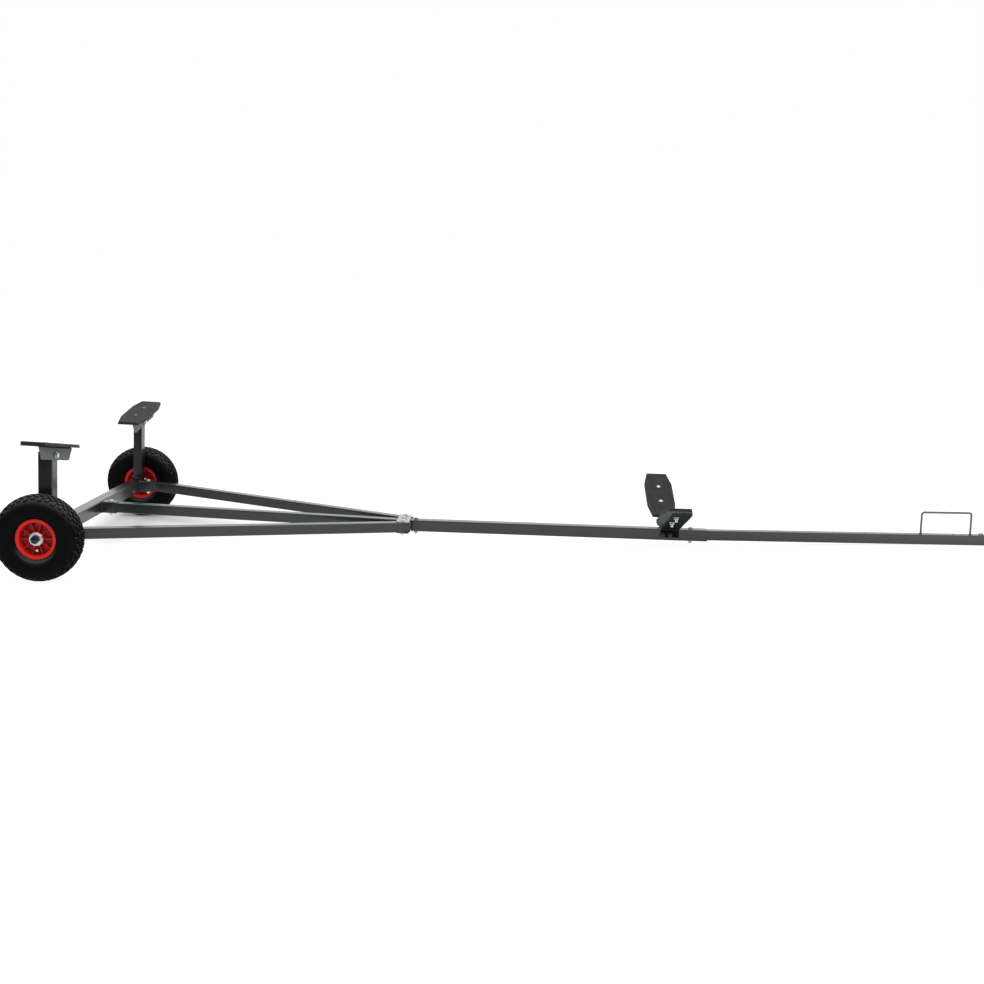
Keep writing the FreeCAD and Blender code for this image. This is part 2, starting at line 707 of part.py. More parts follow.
def make_pad(name, under, across, place):
    """A pad whose underside is at a height and whose middle is at a place across it."""
    body = new_body(name)
    sketch = new_sketch(body, "XY_Plane", under)
    long, wide, end = size("pad_length") / 2, size("pad_width") / 2, size("pad_end") / 2
    taper = size("pad_taper")
    outline(sketch, [
        (across - end, -long), (across + end, -long),
        (across + wide, -long + taper), (across + wide, long - taper),
        (across + end, long), (across - end, long),
        (across - wide, long - taper), (across - wide, -long + taper)])
    slab = add_pad(body, sketch, size("pad"))
    doc.recompute()
    top = (under + size("pad")).value
    rim = [f"Edge{number}" for number, edge in enumerate(slab.Shape.Edges, start=1)
           if min(vertex.Z for vertex in edge.Vertexes) > top - 1e-3]
    rounding = body.newObject("PartDesign::Fillet", name + "_edge")
    rounding.Base = (slab, rim)
    bind(rounding, "Radius", size("pad_edge"))
    body.Tip = rounding
    holes = new_sketch(body, "XY_Plane", under + size("pad") / 2)
    for step in (-1, 1):
        circle(holes, across, size("pad_bolt_spread") * step, HOLE)
    add_cut(body, holes, size("pad") + OVERRUN * 2)
    sinks = new_sketch(body, "XY_Plane", under + size("pad"))
    for step in (-1, 1):
        circle(sinks, across, size("pad_bolt_spread") * step, size("pad_bolt_recess_radius"))
    add_cut(body, sinks, size("pad_bolt_recess") * 2)
    finish(body, name, place)


# Rear pad brackets: bent sheet, a flange under the pad and a tapering leg on the front of the post

def make_rear_bracket(name, side):
    body = new_body(name)
    gap, metal, bend = size("bracket_gap"), size("bracket"), size("bracket_bend")
    top = size("bracket_drop") - size("bracket_under_pivot")
    bottom = -size("bracket_under_pivot")
    front = gap + metal
    rear = front - size("bracket_flange")
    sketch = new_sketch(body, "XZ_Plane")
    outline(sketch, [
        (rear, top - metal), (front - bend, top - metal, bend - metal, -1), (gap, top - bend), (gap, bottom),
        (front, bottom), (front, top - bend, bend, 1), (front - bend, top), (rear, top)])
    add_pad(body, sketch, size("bracket_top"), symmetric=True)
    corners = new_sketch(body, "YZ_Plane", gap)
    wide, narrow = size("bracket_top") / 2, size("bracket_bottom") / 2
    shoulder = top - bend
    for step in (1, -1):
        outline(corners, [(wide * step, shoulder), ((wide + OVERRUN) * step, shoulder),
                          ((wide + OVERRUN) * step, bottom - OVERRUN), (narrow * step, bottom - OVERRUN),
                          (narrow * step, bottom)])
    add_cut(body, corners, (metal + OVERRUN) * 2)
    pivot = new_sketch(body, "YZ_Plane", gap)
    circle(pivot, ZERO, ZERO, size("pivot_radius") + size("running_play"))
    add_cut(body, pivot, (metal + OVERRUN) * 2)
    holes = new_sketch(body, "XY_Plane", top)
    for step in (-1, 1):
        circle(holes, -size("pad_offset"), size("pad_bolt_spread") * step, HOLE)
    add_cut(body, holes, metal * 2 + OVERRUN)
    # The free corners: those at the rear of the flange and those at the foot of the leg
    round_edges(body, size("bracket_corner"), lambda middle, edge: (
        abs(edge.Length - metal.value) < 1e-3
        and (abs(middle.x - rear.value) < 1e-3 or abs(middle.z - bottom.value) < 1e-3)))
    finish(body, name, rear_pad_place(side))


# Pivot bolts of the rear pads, through the front leg of the post

def make_pivot_bolt(name, side):
    head, nut, hexagon = size("pivot_head"), size("pivot_head"), size("pivot_hex")
    outside = size("bracket_gap") * 2 + size("bracket")
    inside = size("post_sheet")
    grip = outside + inside
    middle = Vector((BEAM.value / 2 + (outside.value - inside.value) / 2), side * PIVOT_SPREAD.value,
                    size("pivot_height").value)
    pieces = bolt_solid(name, Placement(middle, Rotation(Vector(0, 1, 0), 90)), grip, size("pivot_radius"),
                        hexagon, head, nut, size("bolt_tip"))
    fuse(name, pieces, FRAME)


# Keel wings: bent sheet, a tab on the side of the drawbar and a wing under the pad

def make_keel_wing(name, side):
    body = new_body(name)
    metal = size("bracket")
    tilt = size("keel_tilt")
    along, rise = cosine(tilt), sine(tilt)
    near = DRAWBAR / 2
    spread, height = size("keel_spread"), size("keel_height")
    # The upper face of the wing lies on the line of the pad's underside
    slope = rise / along
    bend_up = height - (spread - near - metal) * slope
    wing_end = spread - size("pad_length") / 2 * along + size("wing_length") * along
    end_up = height - (spread - wing_end) * slope
    thick_y, thick_z = metal * rise, metal * along
    inner_up = bend_up - metal * (as_size(1) + rise) / along + metal * slope
    sketch = new_sketch(body, "YZ_Plane", WING_PLACE - size("wing_width") / 2)
    outline(sketch, [
        (near * side, -size("wing_drop")), ((near + metal) * side, -size("wing_drop")),
        ((near + metal) * side, inner_up), ((wing_end + thick_y) * side, end_up - thick_z),
        (wing_end * side, end_up), (near * side, bend_up - metal * slope)])
    add_pad(body, sketch, size("wing_width"))
    cross_holes = new_sketch(body, "XZ_Plane", -near * side)
    for step in (-1, 1):
        circle(cross_holes, WING_BOLTS + size("wing_bolt_spread") * step, ZERO, HOLE)
    add_cut(body, cross_holes, metal * 3)
    # The pad bolts pass square through the sloping sheet
    pad_holes = new_sketch(body, "XY_Plane", height)
    pad_holes.AttachmentOffset = Placement(Vector(0, spread.value * side, height.value),
                                           Rotation(Vector(side, 0, 0), tilt.value))
    bind(pad_holes, "AttachmentOffset.Base.y", spread * side)
    bind(pad_holes, "AttachmentOffset.Rotation.Angle", tilt)
    for step in (-1, 1):
        circle(pad_holes, KEEL_PLACE, size("pad_bolt_spread") * step, HOLE)
    add_cut(body, pad_holes, metal * 3)
    round_edges(body, size("wing_round"), lambda middle, edge: (
        abs(edge.Length - metal.value) < 1e-3 and abs(middle.y) > wing_end.value - metal.value))
    finish(body, name, DRAWBAR_FRAME)


# Wheels: hollow tyre, ribbed rim and hub with flanges, all turned about the axle

def make_tyre(name, side):
    body = new_body(name)
    half, crown = size("tyre_width") / 2, WHEEL_RADIUS
    bead, wall = size("tyre_bead_radius"), size("tyre_wall")
    depth = crown - bead
    seat = size("rim_width") / 2 - size("rim_wall")
    sketch = new_sketch(body, "YZ_Plane")
    # Shares of half the width and of the depth from bead to crown
    outer_shares = [(1.0, 0.5), (0.955, 0.74), (0.71, 0.925), (0.0, 1.0)]
    inner_shares = [(0.82, 0.6), (0.0, 0.9)]
    # The foot of each flank lies on the edge of the rim
    foot = size("rim_radius") + size("hole_play")
    right = [(seat, bead), (seat, foot), (size("rim_width") / 2 - size("hole_play"), foot)]
    right += [(half * a, bead + depth * b) for a, b in outer_shares]
    left = [(-a, b) for a, b in reversed(right[:-1])]
    hollow = [(seat - wall, bead), (seat - wall, foot)]
    hollow += [(half * a, bead + depth * b) for a, b in inner_shares]
    inner_left = [(-a, b) for a, b in hollow]
    inner_right = list(reversed(hollow[:-1]))
    outline(sketch, right + left + inner_left + inner_right)
    add_turn(body, sketch)
    finish(body, name, wheel_place(side))


def make_rim(name, side):
    body = new_body(name)
    half, edge, wall = size("rim_width") / 2, size("rim_radius"), size("rim_wall")
    seat = size("tyre_bead_radius") - size("hole_play")
    inner = seat - wall
    web, hub = size("rim_web") / 2, size("hub_radius")
    sleeve = hub - wall
    reach_out = half - size("rim_sleeve_inset")
    sketch = new_sketch(body, "YZ_Plane")
    right = [(half - wall, seat), (half - wall, edge), (half, edge), (half, inner), (web, inner), (web, hub),
             (reach_out, hub), (reach_out, sleeve)]
    outline(sketch, right + [(-a, b) for a, b in reversed(right)])
    add_turn(body, sketch)
    ribs = new_sketch(body, "YZ_Plane")
    rib_out = half - size("rim_rib_inset")
    low, high = hub - wall / 2, inner + wall / 2
    outline(ribs, [(-rib_out, low), (rib_out, low), (rib_out, high), (-rib_out, high)])
    polar(body, add_pad(body, ribs, size("rim_rib"), symmetric=True), RIM_RIBS)
    finish(body, name, wheel_place(side))


def make_hub(name, side):
    body = new_body(name)
    half = size("hub_length") / 2
    bore = size("axle_radius") + size("running_play")
    outer = size("hub_radius") - size("rim_wall") - size("hole_play")
    flange = size("hub_flange_radius")
    seat = size("rim_width") / 2 - size("rim_sleeve_inset")
    sketch = new_sketch(body, "YZ_Plane")
    flange_end = seat + size("hub_flange")
    right = [(half, bore), (half, outer), (flange_end, outer), (flange_end, flange), (seat, flange), (seat, outer)]
    outline(sketch, right + [(-a, b) for a, b in reversed(right)])
    add_turn(body, sketch)
    finish(body, name, wheel_place(side))


# Axle bolts: head inside the outboard leg of the post, washer and nut outside the hub

def make_axle(name, side):
    play = size("hole_play")
    inner = POST_OUTER - size("post_sheet")
    hub_end = size("half_track") + size("hub_length") / 2
    spacer_end = size("half_track") - size("hub_length") / 2 - play
    turn = Rotation(Vector(1, 0, 0), -90 * side)

    def along(distance):
        return Placement(Vector(0, side * distance.value, 0), turn)

    shank_end = hub_end + play + size("washer") + size("axle_head") + size("axle_tip")
    pieces = []
    for tag, radius, start, length in (
            ("_shank", size("axle_radius"), inner, shank_end - inner),
            ("_spacer", size("spacer_radius"), POST_OUTER, spacer_end - POST_OUTER),
            ("_washer", size("washer_radius"), hub_end + play, size("washer"))):
        piece = doc.addObject("Part::Cylinder", name + tag)
        bind(piece, "Radius", radius)
        bind(piece, "Height", length)
        piece.Placement = along(start)
        pieces.append(piece)
    for tag, start in (("_head", inner - size("axle_head")), ("_nut", hub_end + play + size("washer"))):
        prism = doc.addObject("Part::Prism", name + tag)
        prism.Polygon = 6
        bind(prism, "Circumradius", size("axle_hex"))
        bind(prism, "Height", size("axle_head"))
        prism.Placement = along(start)
        pieces.append(prism)
    fuse(name, pieces, Placement(Vector(axle_x, 0, WHEEL_RADIUS.value), Rotation()))


make_crossbeam()
for side_name, side_sign in (("left", 1), ("right", -1)):
    make_post(side_name, side_sign)
    make_socket(side_name, ARM_SPREAD * side_sign)
    make_arm(side_name, side_sign)
    make_axle(side_name + "_axle_bolt", side_sign)
    make_tyre(side_name + "_tyre", side_sign)
    make_rim(side_name + "_rim", side_sign)
    make_hub(side_name + "_hub", side_sign)
    make_rear_bracket(side_name + "_rear_bracket", side_sign)
    make_pad(side_name + "_rear_pad", size("bracket_drop") - size("bracket_under_pivot"), -size("pad_offset"),
             rear_pad_place(side_sign))
    make_pivot_bolt(side_name + "_pivot_bolt", side_sign)
    make_keel_wing(side_name + "_keel_wing", side_sign)
    make_pad(side_name + "_keel_pad", ZERO, ZERO, keel_pad_place(side_sign))
make_socket("centre", ZERO)
make_centre_tubes()
make_end_cap()
make_joint_plate("joint_top_plate", ARM / 2)
make_joint_plate("joint_bottom_plate", -(ARM / 2 + size("plate")))
make_bow_loop()
make_frame_bolts()
doc.recompute()

# Checks, then one file for each sub-part

for item in doc.Objects:
    if "Invalid" in item.State or "Error" in item.State:
        raise RuntimeError(f"{item.Label}: {item.State}")
os.makedirs("parts", exist_ok=True)
for item in finished:
    shape = item.Shape
    if shape.isNull() or not shape.isValid() or shape.Volume <= 0:
        raise RuntimeError(f"{item.Label}: no valid solid")
    shape.exportStep(f"parts/{item.Label}.step")
    print(f"{item.Label}: {len(shape.Solids)} solid(s), {shape.Volume / 1000:.1f} cm3")
print(f"lean {math.degrees(lean):.3f} degrees, axle at X {axle_x:.2f}")
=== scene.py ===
import json
import math

import bmesh
import bpy
from mathutils import Matrix, Quaternion, Vector, noise


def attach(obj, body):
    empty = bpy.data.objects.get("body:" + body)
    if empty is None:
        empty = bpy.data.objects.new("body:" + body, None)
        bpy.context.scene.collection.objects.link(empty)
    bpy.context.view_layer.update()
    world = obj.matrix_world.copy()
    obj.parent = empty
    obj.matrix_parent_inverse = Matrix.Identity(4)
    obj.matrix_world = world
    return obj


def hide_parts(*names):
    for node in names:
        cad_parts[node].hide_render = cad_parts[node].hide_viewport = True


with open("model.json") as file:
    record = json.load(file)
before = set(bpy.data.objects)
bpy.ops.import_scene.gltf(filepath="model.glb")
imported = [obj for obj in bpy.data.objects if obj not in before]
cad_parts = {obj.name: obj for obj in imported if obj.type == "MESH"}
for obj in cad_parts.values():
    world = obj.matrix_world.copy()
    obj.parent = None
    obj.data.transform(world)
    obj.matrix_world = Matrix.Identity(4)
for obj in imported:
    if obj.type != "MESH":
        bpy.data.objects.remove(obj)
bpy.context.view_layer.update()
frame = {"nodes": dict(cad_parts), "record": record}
nodes = frame["nodes"]
MM = 0.001

# Places and sizes that the CAD model shares with the dressing, in metres

SIDES = (("left", 1), ("right", -1))
WHEEL_RADIUS = 0.130
HALF_TRACK = 0.516
BEAM = 0.042
ARM = 0.033
DRAWBAR = 0.038
POST_OUTER = 0.466
POST_LEG = 0.042
SHEET = 0.003
ARM_SPREAD = POST_OUTER - POST_LEG
ARM_PLACES = (ARM_SPREAD, 0.0, -ARM_SPREAD)
SOCKET_BOLT = BEAM / 2 + 0.026
JOINT_PLACE = 1.031
JOINT_SPREAD = 0.047
DRAWBAR_START, DRAWBAR_OVERLAP, DRAWBAR_END = 1.056, 0.080, 2.040
FRONT_START, FRONT_OVERLAP = 1.924, 0.116
REACH = 2.972
TUBE_PLAY = 0.00196
DRAWBAR_REAR_BOLT = DRAWBAR_START + 0.015
DRAWBAR_FRONT_BOLT = DRAWBAR_END - 0.054
FRONT_BOLT = REACH - 0.026
LOOP_PLACE, LOOP_LENGTH = REACH - 0.143, 0.163
PIVOT = (BEAM / 2, POST_OUTER - POST_LEG / 2, 0.236)
KEEL = (1.902, 0.210, 0.090)
WING_BOLTS, WING_BOLT_SPREAD = 1.904, 0.012
REAR_TILT = math.radians(9)
KEEL_TILT = math.radians(20)
PAD_OFFSET = 0.012
AXLE_RADIUS, AXLE_HEX = 0.008, 0.013


def sagged(start, overlap):
    """Turns what lies ahead of an overlap of two tubes about its middle, nose up."""
    middle = Vector((start + overlap / 2, 0, 0))
    turn = Matrix.Rotation(-math.asin(TUBE_PLAY / overlap), 4, "Y")
    return Matrix.Translation(middle) @ turn @ Matrix.Translation(-middle)


DRAWBAR_SAG = sagged(DRAWBAR_START, DRAWBAR_OVERLAP)
FRONT_SAG = sagged(FRONT_START, FRONT_OVERLAP)
LOW = DRAWBAR_SAG @ FRONT_SAG @ Vector((REACH, 0, -ARM / 2))
HIGH = DRAWBAR_SAG @ FRONT_SAG @ Vector((REACH, 0, ARM / 2))
LEAN = math.asin(WHEEL_RADIUS / math.hypot(LOW.x, LOW.z)) + math.atan2(LOW.z, LOW.x)
FRONT_X = HIGH.x * math.cos(LEAN) + HIGH.z * math.sin(LEAN)
AXLE_X = (WHEEL_RADIUS - FRONT_X) / 2
FRAME = Matrix.Translation((AXLE_X, 0, WHEEL_RADIUS)) @ Matrix.Rotation(LEAN, 4, "Y")
DRAWBAR_FRAME = FRAME @ DRAWBAR_SAG
FRONT_FRAME = DRAWBAR_FRAME @ FRONT_SAG
UP_TO_BACK = Matrix.Rotation(math.pi / 2, 4, "X")


def at(x, y, z, section=FRAME):
    return section @ Matrix.Translation((x, y, z))


def rear_pad_place(side):
    return at(PIVOT[0], side * PIVOT[1], PIVOT[2]) @ Matrix.Rotation(side * REAR_TILT, 4, "X")


def keel_pad_place(side):
    return at(KEEL[0], side * KEEL[1], KEEL[2], DRAWBAR_FRAME) @ Matrix.Rotation(side * KEEL_TILT, 4, "X")


def wheel_place(side):
    """Local +Y points outward from the trailer on either side."""
    turn = Matrix.Rotation(0 if side > 0 else math.pi, 4, "Z")
    return Matrix.Translation((AXLE_X, side * HALF_TRACK, WHEEL_RADIUS)) @ turn


# Materials

def new_material(name):
    material = bpy.data.materials.new(name)
    material.use_nodes = True
    tree = material.node_tree
    shader = tree.nodes["Principled BSDF"]
    return material, tree, shader


def noise_texture(tree, scale, detail=4.0, rough=0.6, stretch=(1, 1, 1)):
    place = tree.nodes.new("ShaderNodeTexCoord")
    mapping = tree.nodes.new("ShaderNodeMapping")
    mapping.inputs["Scale"].default_value = stretch
    texture = tree.nodes.new("ShaderNodeTexNoise")
    texture.inputs["Scale"].default_value = scale
    texture.inputs["Detail"].default_value = detail
    texture.inputs["Roughness"].default_value = rough
    tree.links.new(place.outputs["Object"], mapping.inputs["Vector"])
    tree.links.new(mapping.outputs["Vector"], texture.inputs["Vector"])
    return texture.outputs["Fac"]


def clouds(tree, source, first, second, low=0.3, high=0.7):
    """Drifts from one colour to another over a texture's middle range."""
    made = tree.nodes.new("ShaderNodeValToRGB")
    for element, place, colour in zip(made.color_ramp.elements, (low, high), (first, second)):
        element.position = place
        element.color = (*colour, 1)
    tree.links.new(source, made.inputs["Fac"])
    return made.outputs["Color"]


def grey(value):
    return (value, value, value)


def spread(tree, source, low, high, from_low=0.3, from_high=0.7):
    """Maps a texture's middle range to numbers."""
    made = tree.nodes.new("ShaderNodeMapRange")
    made.inputs["From Min"].default_value = from_low
    made.inputs["From Max"].default_value = from_high
    made.inputs["To Min"].default_value = low
    made.inputs["To Max"].default_value = high
    tree.links.new(source, made.inputs["Value"])
    return made.outputs["Result"]


def mix(tree, factor, first, second):
    made = tree.nodes.new("ShaderNodeMix")
    made.data_type = "RGBA"
    tree.links.new(factor, made.inputs["Factor"])
    for socket, value in ((made.inputs["A"], first), (made.inputs["B"], second)):
        if isinstance(value, tuple):
            socket.default_value = (*value, 1)
        else:
            tree.links.new(value, socket)
    return made.outputs["Result"]


def add_bump(tree, shader, sources):
    """Chains bumps: each is (height source, strength, distance in metres)."""
    normal = None
    for source, strength, distance in sources:
        made = tree.nodes.new("ShaderNodeBump")
        made.inputs["Strength"].default_value = strength
        made.inputs["Distance"].default_value = distance
        tree.links.new(source, made.inputs["Height"])
        if normal is not None:
            tree.links.new(normal, made.inputs["Normal"])
        normal = made.outputs["Normal"]
    tree.links.new(normal, shader.inputs["Normal"])


def combine(tree, kind, first, second):
    made = tree.nodes.new("ShaderNodeMath")
    made.operation = kind
    tree.links.new(first, made.inputs[0])
    tree.links.new(second, made.inputs[1])
    return made.outputs["Value"]


def either(tree, first, second):
    return combine(tree, "MAXIMUM", first, second)


def both(tree, first, second):
    return combine(tree, "MULTIPLY", first, second)


def sharp_edges(tree, radius, high):
    """Share that marks sharp edges: where a rounded normal leaves the true one."""
    soft = tree.nodes.new("ShaderNodeBevel")
    soft.samples = 4
    soft.inputs["Radius"].default_value = radius
    geometry = tree.nodes.new("ShaderNodeNewGeometry")
    match = tree.nodes.new("ShaderNodeVectorMath")
    match.operation = "DOT_PRODUCT"
    tree.links.new(soft.outputs["Normal"], match.inputs[0])
    tree.links.new(geometry.outputs["Normal"], match.inputs[1])
    return spread(tree, match.outputs["Value"], high, 0.0, 0.8, 0.98)


def edge_wear(tree):
    """Share of wear on sharp edges, broken up by noise."""
    patchy = spread(tree, noise_texture(tree, 90.0, 5.0), 0.0, 1.0, 0.5, 0.62)
    return both(tree, sharp_edges(tree, 0.0012, 0.5), patchy)


def hollow(tree, reach, low, high):
    """Share of shade in recesses within a reach."""
    made = tree.nodes.new("ShaderNodeAmbientOcclusion")
    made.samples = 8
    made.inputs["Distance"].default_value = reach
    return spread(tree, made.outputs["AO"], high, low, 0.25, 0.9)


def drifting_roughness(tree, shader, scale, detail, low, high):
    tree.links.new(spread(tree, noise_texture(tree, scale, detail), low, high), shader.inputs["Roughness"])


def scaled(colour, share):
    return tuple(value * share for value in colour)


DUST = (0.13, 0.13, 0.128)
BARE_EDGE = (0.10, 0.10, 0.105)


def paint(name, base, light, rough, coat=0.6, reach=0.05, rim=None):
    """Smooth powder coat: faint orange peel, a breath of dust, slightly worn edges, and recesses with painted
    shade and less coat.

    The recesses are as wide as reach; rim is the colour of a painted highlight on sharp edges."""
    material, tree, shader = new_material(name)
    colour = clouds(tree, noise_texture(tree, 5.0, 3.0), base, light)
    dust = spread(tree, noise_texture(tree, 26.0, 6.0), 0.0, 0.05, 0.55, 0.75)
    colour = mix(tree, dust, colour, DUST)
    colour = mix(tree, edge_wear(tree), colour, BARE_EDGE)
    # Painted shade: recesses within reach darken towards a third of the base colour.
    colour = mix(tree, hollow(tree, reach, 0.0, 0.7), colour, scaled(base, 0.3))
    # Painted highlight: sharp edges take the rim colour.
    if rim:
        colour = mix(tree, sharp_edges(tree, 0.0025, 0.8), colour, rim)
    tree.links.new(colour, shader.inputs["Base Color"])
    drifting_roughness(tree, shader, 14.0, 4.0, rough - 0.03, rough + 0.04)
    tree.links.new(hollow(tree, reach, coat, coat * 0.25), shader.inputs["Coat Weight"])
    shader.inputs["Coat Roughness"].default_value = 0.14
    shader.inputs["Specular IOR Level"].default_value = coat * 0.5
    add_bump(tree, shader, [(noise_texture(tree, 320.0, 2.0), 0.05, 0.0003)])
    return material


def zinc(name, base, dull):
    """Zinc plating: metal with soft clouds and fine scratches."""
    material, tree, shader = new_material(name)
    colour = clouds(tree, noise_texture(tree, 120.0, 5.0), dull, base)
    tree.links.new(colour, shader.inputs["Base Color"])
    shader.inputs["Metallic"].default_value = 1.0
    drifting_roughness(tree, shader, 240.0, 3.0, 0.24, 0.42)
    add_bump(tree, shader, [(noise_texture(tree, 900.0, 2.0, stretch=(1, 1, 6)), 0.15, 0.0002)])
    return material


def rubber(name, base, light, rough, grain, shine, lit_top=None):
    """Rubber: dull, faintly dusty and finely grained, with painted shade in its hollows and along sharp
    edges; a top colour, if given, is painted light on faces that look up.
    """
    material, tree, shader = new_material(name)
    colour = clouds(tree, noise_texture(tree, 16.0, 6.0), base, light, 0.32, 0.68)
    dust = spread(tree, noise_texture(tree, 70.0, 6.0), 0.0, 0.12, 0.5, 0.72)
    colour = mix(tree, dust, colour, scaled(light, 2.2))
    # Painted light: faces that look up drift to the top colour.
    if lit_top:
        apart = tree.nodes.new("ShaderNodeSeparateXYZ")
        tree.links.new(tree.nodes.new("ShaderNodeNewGeometry").outputs["Normal"], apart.inputs["Vector"])
        colour = mix(tree, spread(tree, apart.outputs["Z"], 0.0, 1.0, 0.2, 0.95), colour, lit_top)
    # Painted shade: sharp edges darken to 0.4 of the base and hollows to 0.2 of it.
    colour = mix(tree, sharp_edges(tree, 0.0025, 0.6), colour, scaled(base, 0.4))
    colour = mix(tree, hollow(tree, 0.012, 0.0, 0.85), colour, scaled(base, 0.2))
    tree.links.new(colour, shader.inputs["Base Color"])
    drifting_roughness(tree, shader, 45.0, 4.0, rough - 0.08, rough + 0.08)
    shader.inputs["Specular IOR Level"].default_value = shine
    add_bump(tree, shader, [(noise_texture(tree, grain, 3.0), 0.25, 0.0004)])
    return material


def plastic(name, base, light, rough):
    """Moulded plastic: slight colour flow, fine sink marks, rubbed corners and painted shade in its recesses.
    """
    material, tree, shader = new_material(name)
    colour = clouds(tree, noise_texture(tree, 30.0, 4.0), base, light)
    colour = mix(tree, edge_wear(tree), colour, tuple(min(1.0, value * 1.3 + 0.03) for value in light))
    # Painted shade: recesses darken to a quarter of the base colour.
    colour = mix(tree, hollow(tree, 0.03, 0.0, 0.52), colour, scaled(base, 0.24))
    tree.links.new(colour, shader.inputs["Base Color"])
    shader.inputs["Specular IOR Level"].default_value = 0.3
    drifting_roughness(tree, shader, 60.0, 3.0, rough - 0.04, rough + 0.08)
    add_bump(tree, shader, [(noise_texture(tree, 140.0, 3.0), 0.08, 0.0005)])
    return material


FRAME_BLACK = (0.0098, 0.0110, 0.0116), (0.0126, 0.0139, 0.0146)
FRAME_PAINT = paint("frame_paint", *FRAME_BLACK, rough=0.32)
# Posts: the frame paint with painted shade reaching far, which darkens the inside of the angle.
POST_PAINT = paint("post_paint", *FRAME_BLACK, rough=0.32, coat=0.62, reach=0.15)
# Painted light: the brackets take a paler copy of the frame paint, for faces that tilt up towards the light.
LIT_BRACKET_PAINT = paint("bracket_paint", (0.100, 0.101, 0.106), (0.113, 0.114, 0.119), rough=0.42, coat=0.18)
# Painted light: the joint plates take a paler copy of the frame paint with a full coat, so their tops show
# bright.
LIT_JOINT_PAINT = paint("lit_joint_paint", (0.105, 0.106, 0.108), (0.120, 0.121, 0.123), rough=0.24, coat=1.0,
                    reach=0.012)
# Painted shade: the keel wings under the pads take a darker, matte copy of the frame paint, with a painted
# highlight on their sharp edges.
SHADED_WING_PAINT = paint("shaded_wing_paint", (0.0075, 0.0082, 0.0084), (0.0115, 0.0124, 0.0127), rough=0.60, coat=0.01,
                   rim=(0.26, 0.27, 0.275))
ROD_PAINT = paint("rod_paint", (0.060, 0.061, 0.063), (0.080, 0.081, 0.083), rough=0.30)
WELD_PAINT = paint("weld_paint", (0.011, 0.0118, 0.0126), (0.014, 0.0148, 0.0156), rough=0.38)
ZINC = zinc("zinc", (0.90, 0.90, 0.89), (0.70, 0.70, 0.68))
DULL_ZINC = zinc("dull_zinc", (0.26, 0.26, 0.265), (0.13, 0.13, 0.133))
WORN_ZINC = zinc("worn_zinc", (0.46, 0.46, 0.465), (0.24, 0.24, 0.243))
DARK_BOLT = zinc("dark_bolt", (0.046, 0.056, 0.074), (0.022, 0.027, 0.036))
PAD_RUBBER = rubber("pad_rubber", (0.012, 0.0123, 0.0126), (0.020, 0.0204, 0.0208),
                    rough=0.60, grain=500.0, shine=0.36)
KEEL_RUBBER = rubber("keel_rubber", (0.0115, 0.0118, 0.0121), (0.0190, 0.0194, 0.0198),
                     rough=0.62, grain=500.0, shine=0.24)
# Tyre rubber: nearly black, with painted light on faces that look up.
TYRE_RUBBER = rubber("tyre_rubber", (0.0017, 0.0019, 0.0019), (0.0029, 0.0031, 0.0031),
                     rough=0.66, grain=700.0, shine=0.07, lit_top=(0.075, 0.078, 0.079))
RED_PLASTIC = plastic("red_plastic", (0.57, 0.009, 0.006), (0.67, 0.016, 0.010), rough=0.34)
BLACK_PLASTIC = plastic("black_plastic", (0.012, 0.012, 0.012), (0.02, 0.02, 0.02), rough=0.45)

SLOT_MATERIALS = {"frame_paint": FRAME_PAINT, "bracket_paint": LIT_BRACKET_PAINT, "zinc": ZINC,
                  "pad_rubber": PAD_RUBBER, "tyre_rubber": TYRE_RUBBER, "red_plastic": RED_PLASTIC,
                  "black_plastic": BLACK_PLASTIC}
OWN_MATERIALS = {"left_keel_wing": SHADED_WING_PAINT, "right_keel_wing": SHADED_WING_PAINT, "bow_loop": ROD_PAINT,
                 "left_post": POST_PAINT, "right_post": POST_PAINT, "joint_top_plate": LIT_JOINT_PAINT,
                 "joint_bottom_plate": LIT_JOINT_PAINT}

slots = {entry["node"]: entry["material_slot"] for entry in frame["record"]["subparts"]}
for name, item in nodes.items():
    item.data.materials.clear()
    item.data.materials.append(OWN_MATERIALS.get(name, SLOT_MATERIALS[slots[name]]))


# Mesh helpers

def link(item):
    bpy.context.scene.collection.objects.link(item)
    return item


def add_piece(name, mesh, material, body, replaced=(), sharp=35):
    item = link(bpy.data.objects.new(name, mesh))
    mesh.materials.append(material)
    mesh.shade_smooth()
    mesh.set_sharp_from_angle(angle=math.radians(sharp))
    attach(item, body)
    if replaced:
        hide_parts(*replaced)


def to_mesh(name, work):
    bmesh.ops.recalc_face_normals(work, faces=work.faces)
    mesh = bpy.data.meshes.new(name)
    work.to_mesh(mesh)
    work.free()
    return mesh


def strip(work, here, there):
    """Faces between two closed rings of equal length."""
    for index in range(len(here)):
        after = (index + 1) % len(here)
        work.faces.new((here[index], here[after], there[after], there[index]))


def lathe(work, profile, segments, place):
    """Turns a closed profile of (along Y, radius) points about Y."""
    rings = []
    for step in range(segments):
        angle = 2 * math.pi * step / segments
        c, s = math.cos(angle), math.sin(angle)
        rings.append([work.verts.new(place @ Vector((r * s, y, r * c))) for y, r in profile])
    for step in range(segments):
        strip(work, rings[step], rings[(step + 1) % segments])


def prism(work, rings, caps=True):
    """Joins rings of equal length with sides and closes both ends."""
    for here, there in zip(rings, rings[1:]):
        strip(work, here, there)
    if caps:
        work.faces.new(rings[0][::-1])
        work.faces.new(rings[-1])


# Points round a hole or washer, round a bolt's shank, and round a hexagon

ROUND, SHANK_ROUND, HEX_ROUND = 40, 24, 48


def ring_of(work, place, points, z):
    return [work.verts.new(place @ Vector((x, y, z))) for x, y in points]


def disc(radius, count=ROUND):
    return [(radius * math.cos(2 * math.pi * k / count), radius * math.sin(2 * math.pi * k / count))
            for k in range(count)]


